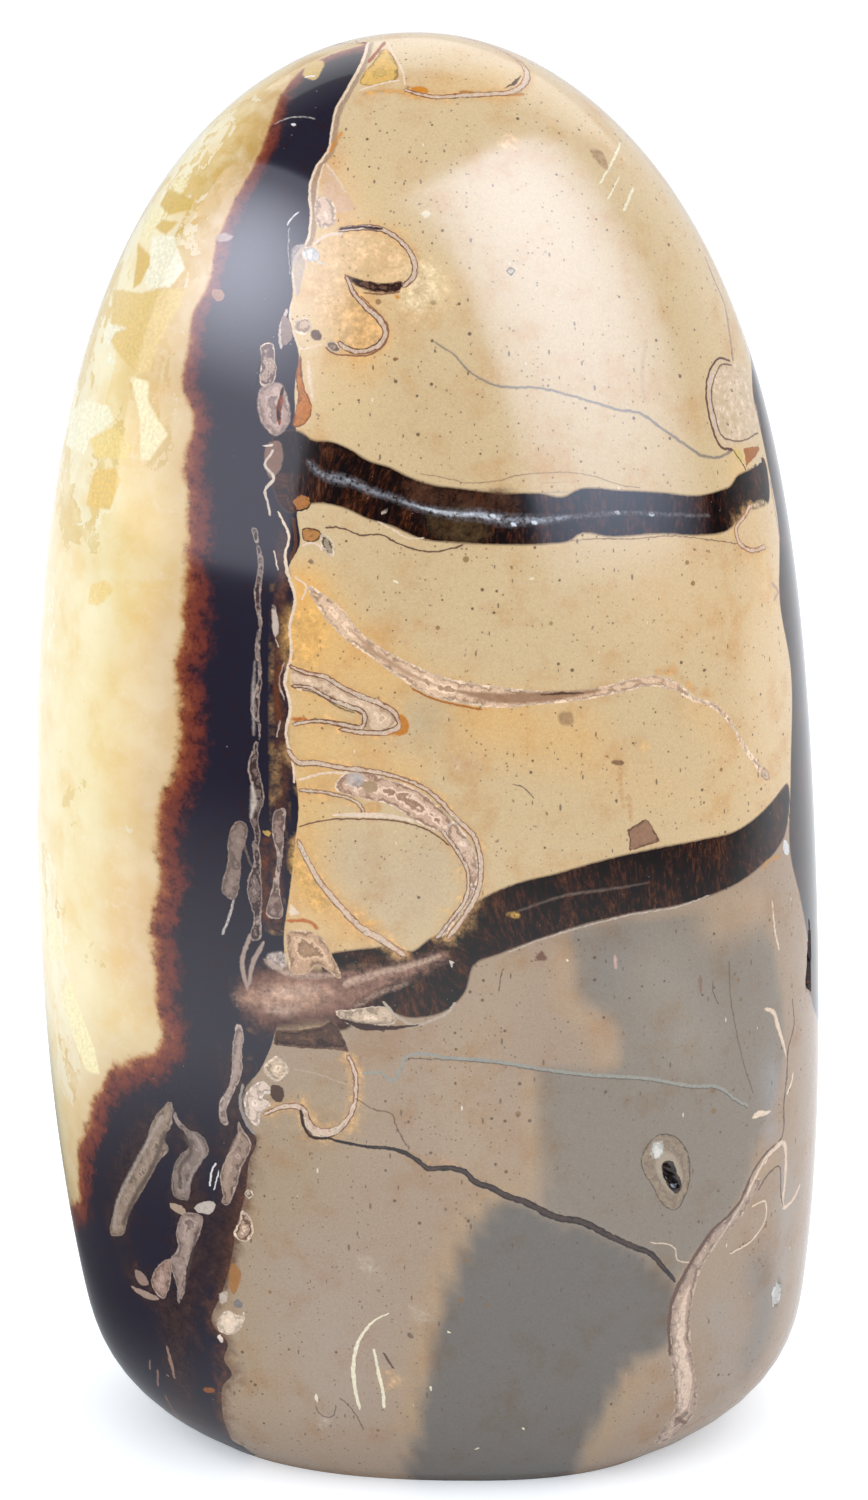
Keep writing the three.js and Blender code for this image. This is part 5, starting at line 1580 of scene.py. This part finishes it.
# the soft stains, and then the marks
haze = told(stone, "haze")
thin = rest(stone, haze["Alpha"])
crust = plus(stone, times(stone, mottle, 0.45), times(stone, blotch, 0.55))
crusty = sloped(stone, sloped(stone, crust, 9.0, -4.5), thin, 1.0)
stain = dimmed(stone, haze["Color"], sloped(stone, crust, 3.0, -0.5))
colour = mixed(stone, times(stone, haze["Alpha"], crusty), colour, stain)
grainy = sloped(stone, mottle, 7.0, -3.5)
ragged = sloped(stone, fray, 2.5, sloped(stone, blotch, 3.2, -0.65))
phase = sloped(stone, mottle, 2.4, times(stone, blotch, 11.0))
for number in range(len(layers)):
    core = told(stone, f"core_{number}")
    rims = told(stone, f"rim_{number}")
    colour = put(stone, "Group", {
        "Under": colour, "Route": told(stone, f"route_{number}")["Color"],
        "Core": core["Color"], "Softness": core["Alpha"], "Rim": rims["Color"], "Rim width": rims["Alpha"],
        "Fray": fray, "Grain": grainy, "Ragged": ragged, "Phase": phase,
    }, node_tree=drawn).outputs["Colour"]

colour = mixed(stone, 1 - BRIGHTNESS, colour, (0, 0, 0, 1))
gloss = sloped(stone, in_lime, 0.05, 0.07)
gloss = plus(stone, gloss, times(stone, grain, 0.03))
shader = put(stone, "BsdfPrincipled", {"Base Color": colour, "Roughness": gloss, "IOR": 1.55})
put(stone, "OutputMaterial", {0: shader.outputs[0]})
nodule.data.materials.append(material)
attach(nodule, "root")
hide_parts("septarian_nodule")

# ---------------------------------------------------------------- the floor and the studio light
# A plain white floor and a bright white room, with a softbox on each side in front and one behind. Each
# softbox is two lamps: one lights the stone, and the other, the shine, shows in its polish alone.

FLOOR_HALF = 1.0
FLOOR_WHITE = (0.86, 0.87, 0.89)
SEEN_LIFT = 0.32  # the glow that lifts the floor to white where it is looked at
LAMPS_AIM = Vector((0, 0, 0.075))
floor_shape = bmesh.new()
bmesh.ops.create_grid(floor_shape, x_segments=1, y_segments=1, size=FLOOR_HALF)
floor_mesh = bpy.data.meshes.new("floor")
floor_shape.to_mesh(floor_mesh)
floor_shape.free()
floor = bpy.data.objects.new("floor", floor_mesh)
bpy.context.scene.collection.objects.link(floor)
paper = bpy.data.materials.new("white_paper")
paper.use_nodes = True
card = paper.node_tree
card.nodes.clear()
kinds = put(card, "LightPath").outputs
on_floor = put(card, "TexCoord").outputs["Object"]
away = put(card, "VectorMath", {0: on_floor}, operation="LENGTH").outputs["Value"]
sideward, backward = put(card, "SeparateXYZ", {0: on_floor}).outputs[:2]
# in rays that the polish reflects, the floor is painted dark far off in front, and close by on the left as
# painted shade, so the base is dark there
in_front = rest(card, eased(card, backward, -0.15, 0.1))
far_off = times(card, eased(card, away, 0.12, 0.42), in_front)
at_left = rest(card, eased(card, sideward, -0.06, -0.01))
close_left = times(card, at_left, rest(card, eased(card, away, 0.08, 0.17)))
painted_dark_in_polish = maths(card, "MAXIMUM", far_off, times(card, close_left, 0.9))
mirrored = times(card, kinds["Is Glossy Ray"], painted_dark_in_polish)
whiteness = rest(card, mirrored)
whiteness = put(card, "VectorMath", {0: FLOOR_WHITE, "Scale": whiteness}, operation="SCALE").outputs[0]
seen_lift = times(card, kinds["Is Camera Ray"], SEEN_LIFT)
matt = put(card, "BsdfPrincipled", {
    "Base Color": whiteness, "Roughness": 0.8, "Specular IOR Level": 0.0,
    "Emission Color": (0.9, 0.95, 1.0, 1), "Emission Strength": seen_lift,
})
put(card, "OutputMaterial", {0: matt.outputs[0]})
floor_mesh.materials.append(paper)


def softbox(name, turn, climb, far, wide, tall, tint, radiance, glow_shape=None):
    """A flat lamp at a bearing and a height in degrees, facing the stone. One with a glow shape shows in the
    polish alone: an even share, and a hot spot whose middle and spread are shares of width and height."""
    turn = math.radians(turn)
    climb = math.radians(climb)
    way = Vector((math.cos(climb) * math.sin(turn), -math.cos(climb) * math.cos(turn), math.sin(climb)))
    lamp = bpy.data.lights.new(name, "AREA")
    lamp.shape = "RECTANGLE"
    lamp.size = wide
    lamp.size_y = tall
    lamp.color = tint
    lamp.energy = 4 * radiance * wide * tall
    if glow_shape:
        even, middle, spread = glow_shape
        lamp.use_nodes = True
        glow = lamp.node_tree
        ways = put(glow, "SeparateXYZ", {0: put(glow, "NewGeometry").outputs["Parametric"]}).outputs
        strength = 1.0
        for axis in (0, 1):
            off = maths(glow, "DIVIDE", minus(glow, ways[axis], middle[axis]), spread[axis])
            bump = maths(glow, "MAXIMUM", 0.0, rest(glow, times(glow, off, off)))
            strength = times(glow, strength, maths(glow, "POWER", bump, 1.5))
        strength = sloped(glow, strength, 1 - even, even)
        glow.nodes["Emission"].inputs["Color"].default_value = (1, 1, 1, 1)
        glow.links.new(strength, glow.nodes["Emission"].inputs["Strength"])
    box = bpy.data.objects.new(name, lamp)
    box.location = way * far + LAMPS_AIM
    box.rotation_euler = way.to_track_quat("Z", "Y").to_euler()
    box.visible_camera = False
    box.visible_diffuse = not glow_shape
    box.visible_glossy = bool(glow_shape)
    bpy.context.scene.collection.objects.link(box)


softbox("right_softbox", 66, 33, 0.92, 1.75, 0.95, (1, 1, 1), 1.1)
softbox("right_shine", 50, 32.6, 0.9, 1.28, 1.02, (0.66, 0.77, 1.0), 7.4, (0.0, (0.35, 0.75), (0.6, 1.0)))
softbox("left_softbox", -60, 30, 0.92, 1.4, 0.95, (1, 1, 1), 1.35)
softbox("left_shine", -55, 27, 0.9, 1.25, 0.85, (0.83, 0.86, 1.0), 7.6, (0.22, (0.55, 0.63), (0.5, 0.32)))
softbox("back_softbox", 170, 55, 1.2, 1.6, 1.0, (1, 1, 1), 0.8)
softbox("back_shine", 170, 55, 1.18, 1.6, 1.0, (1, 1, 1), 1.0, (0.6, (0.5, 0.5), (0.6, 0.6)))

# the room behind the stone is brighter, and in the polish the rest of it is nearly dark
world = bpy.data.worlds.new("white_room")
world.use_nodes = True
room = world.node_tree
room.nodes.clear()
heading = put(room, "SeparateXYZ", {0: put(room, "TexCoord").outputs["Generated"]}).outputs[1]
rays = put(room, "LightPath").outputs
fill = put(room, "MapRange", {0: heading, 1: -0.6, 2: 0.8, 3: 0.5, 4: 0.95}).outputs[0]
mirror = put(room, "MapRange", {0: heading, 1: -0.1, 2: 0.5, 3: 0.0, 4: 0.8}).outputs[0]
strength = put(room, "Mix", {0: rays["Is Glossy Ray"], 2: fill, 3: mirror}).outputs[0]
lit = put(room, "Background", {0: (0.93, 0.96, 1.0, 1), 1: strength})
seen = put(room, "Background", {0: (1, 1, 1, 1), 1: 1.05})
both = put(room, "MixShader", {0: rays["Is Camera Ray"], 1: lit.outputs[0], 2: seen.outputs[0]})
put(room, "OutputWorld", {0: both.outputs[0]})
bpy.context.scene.world = world
bpy.context.scene.view_settings.view_transform = "Standard"
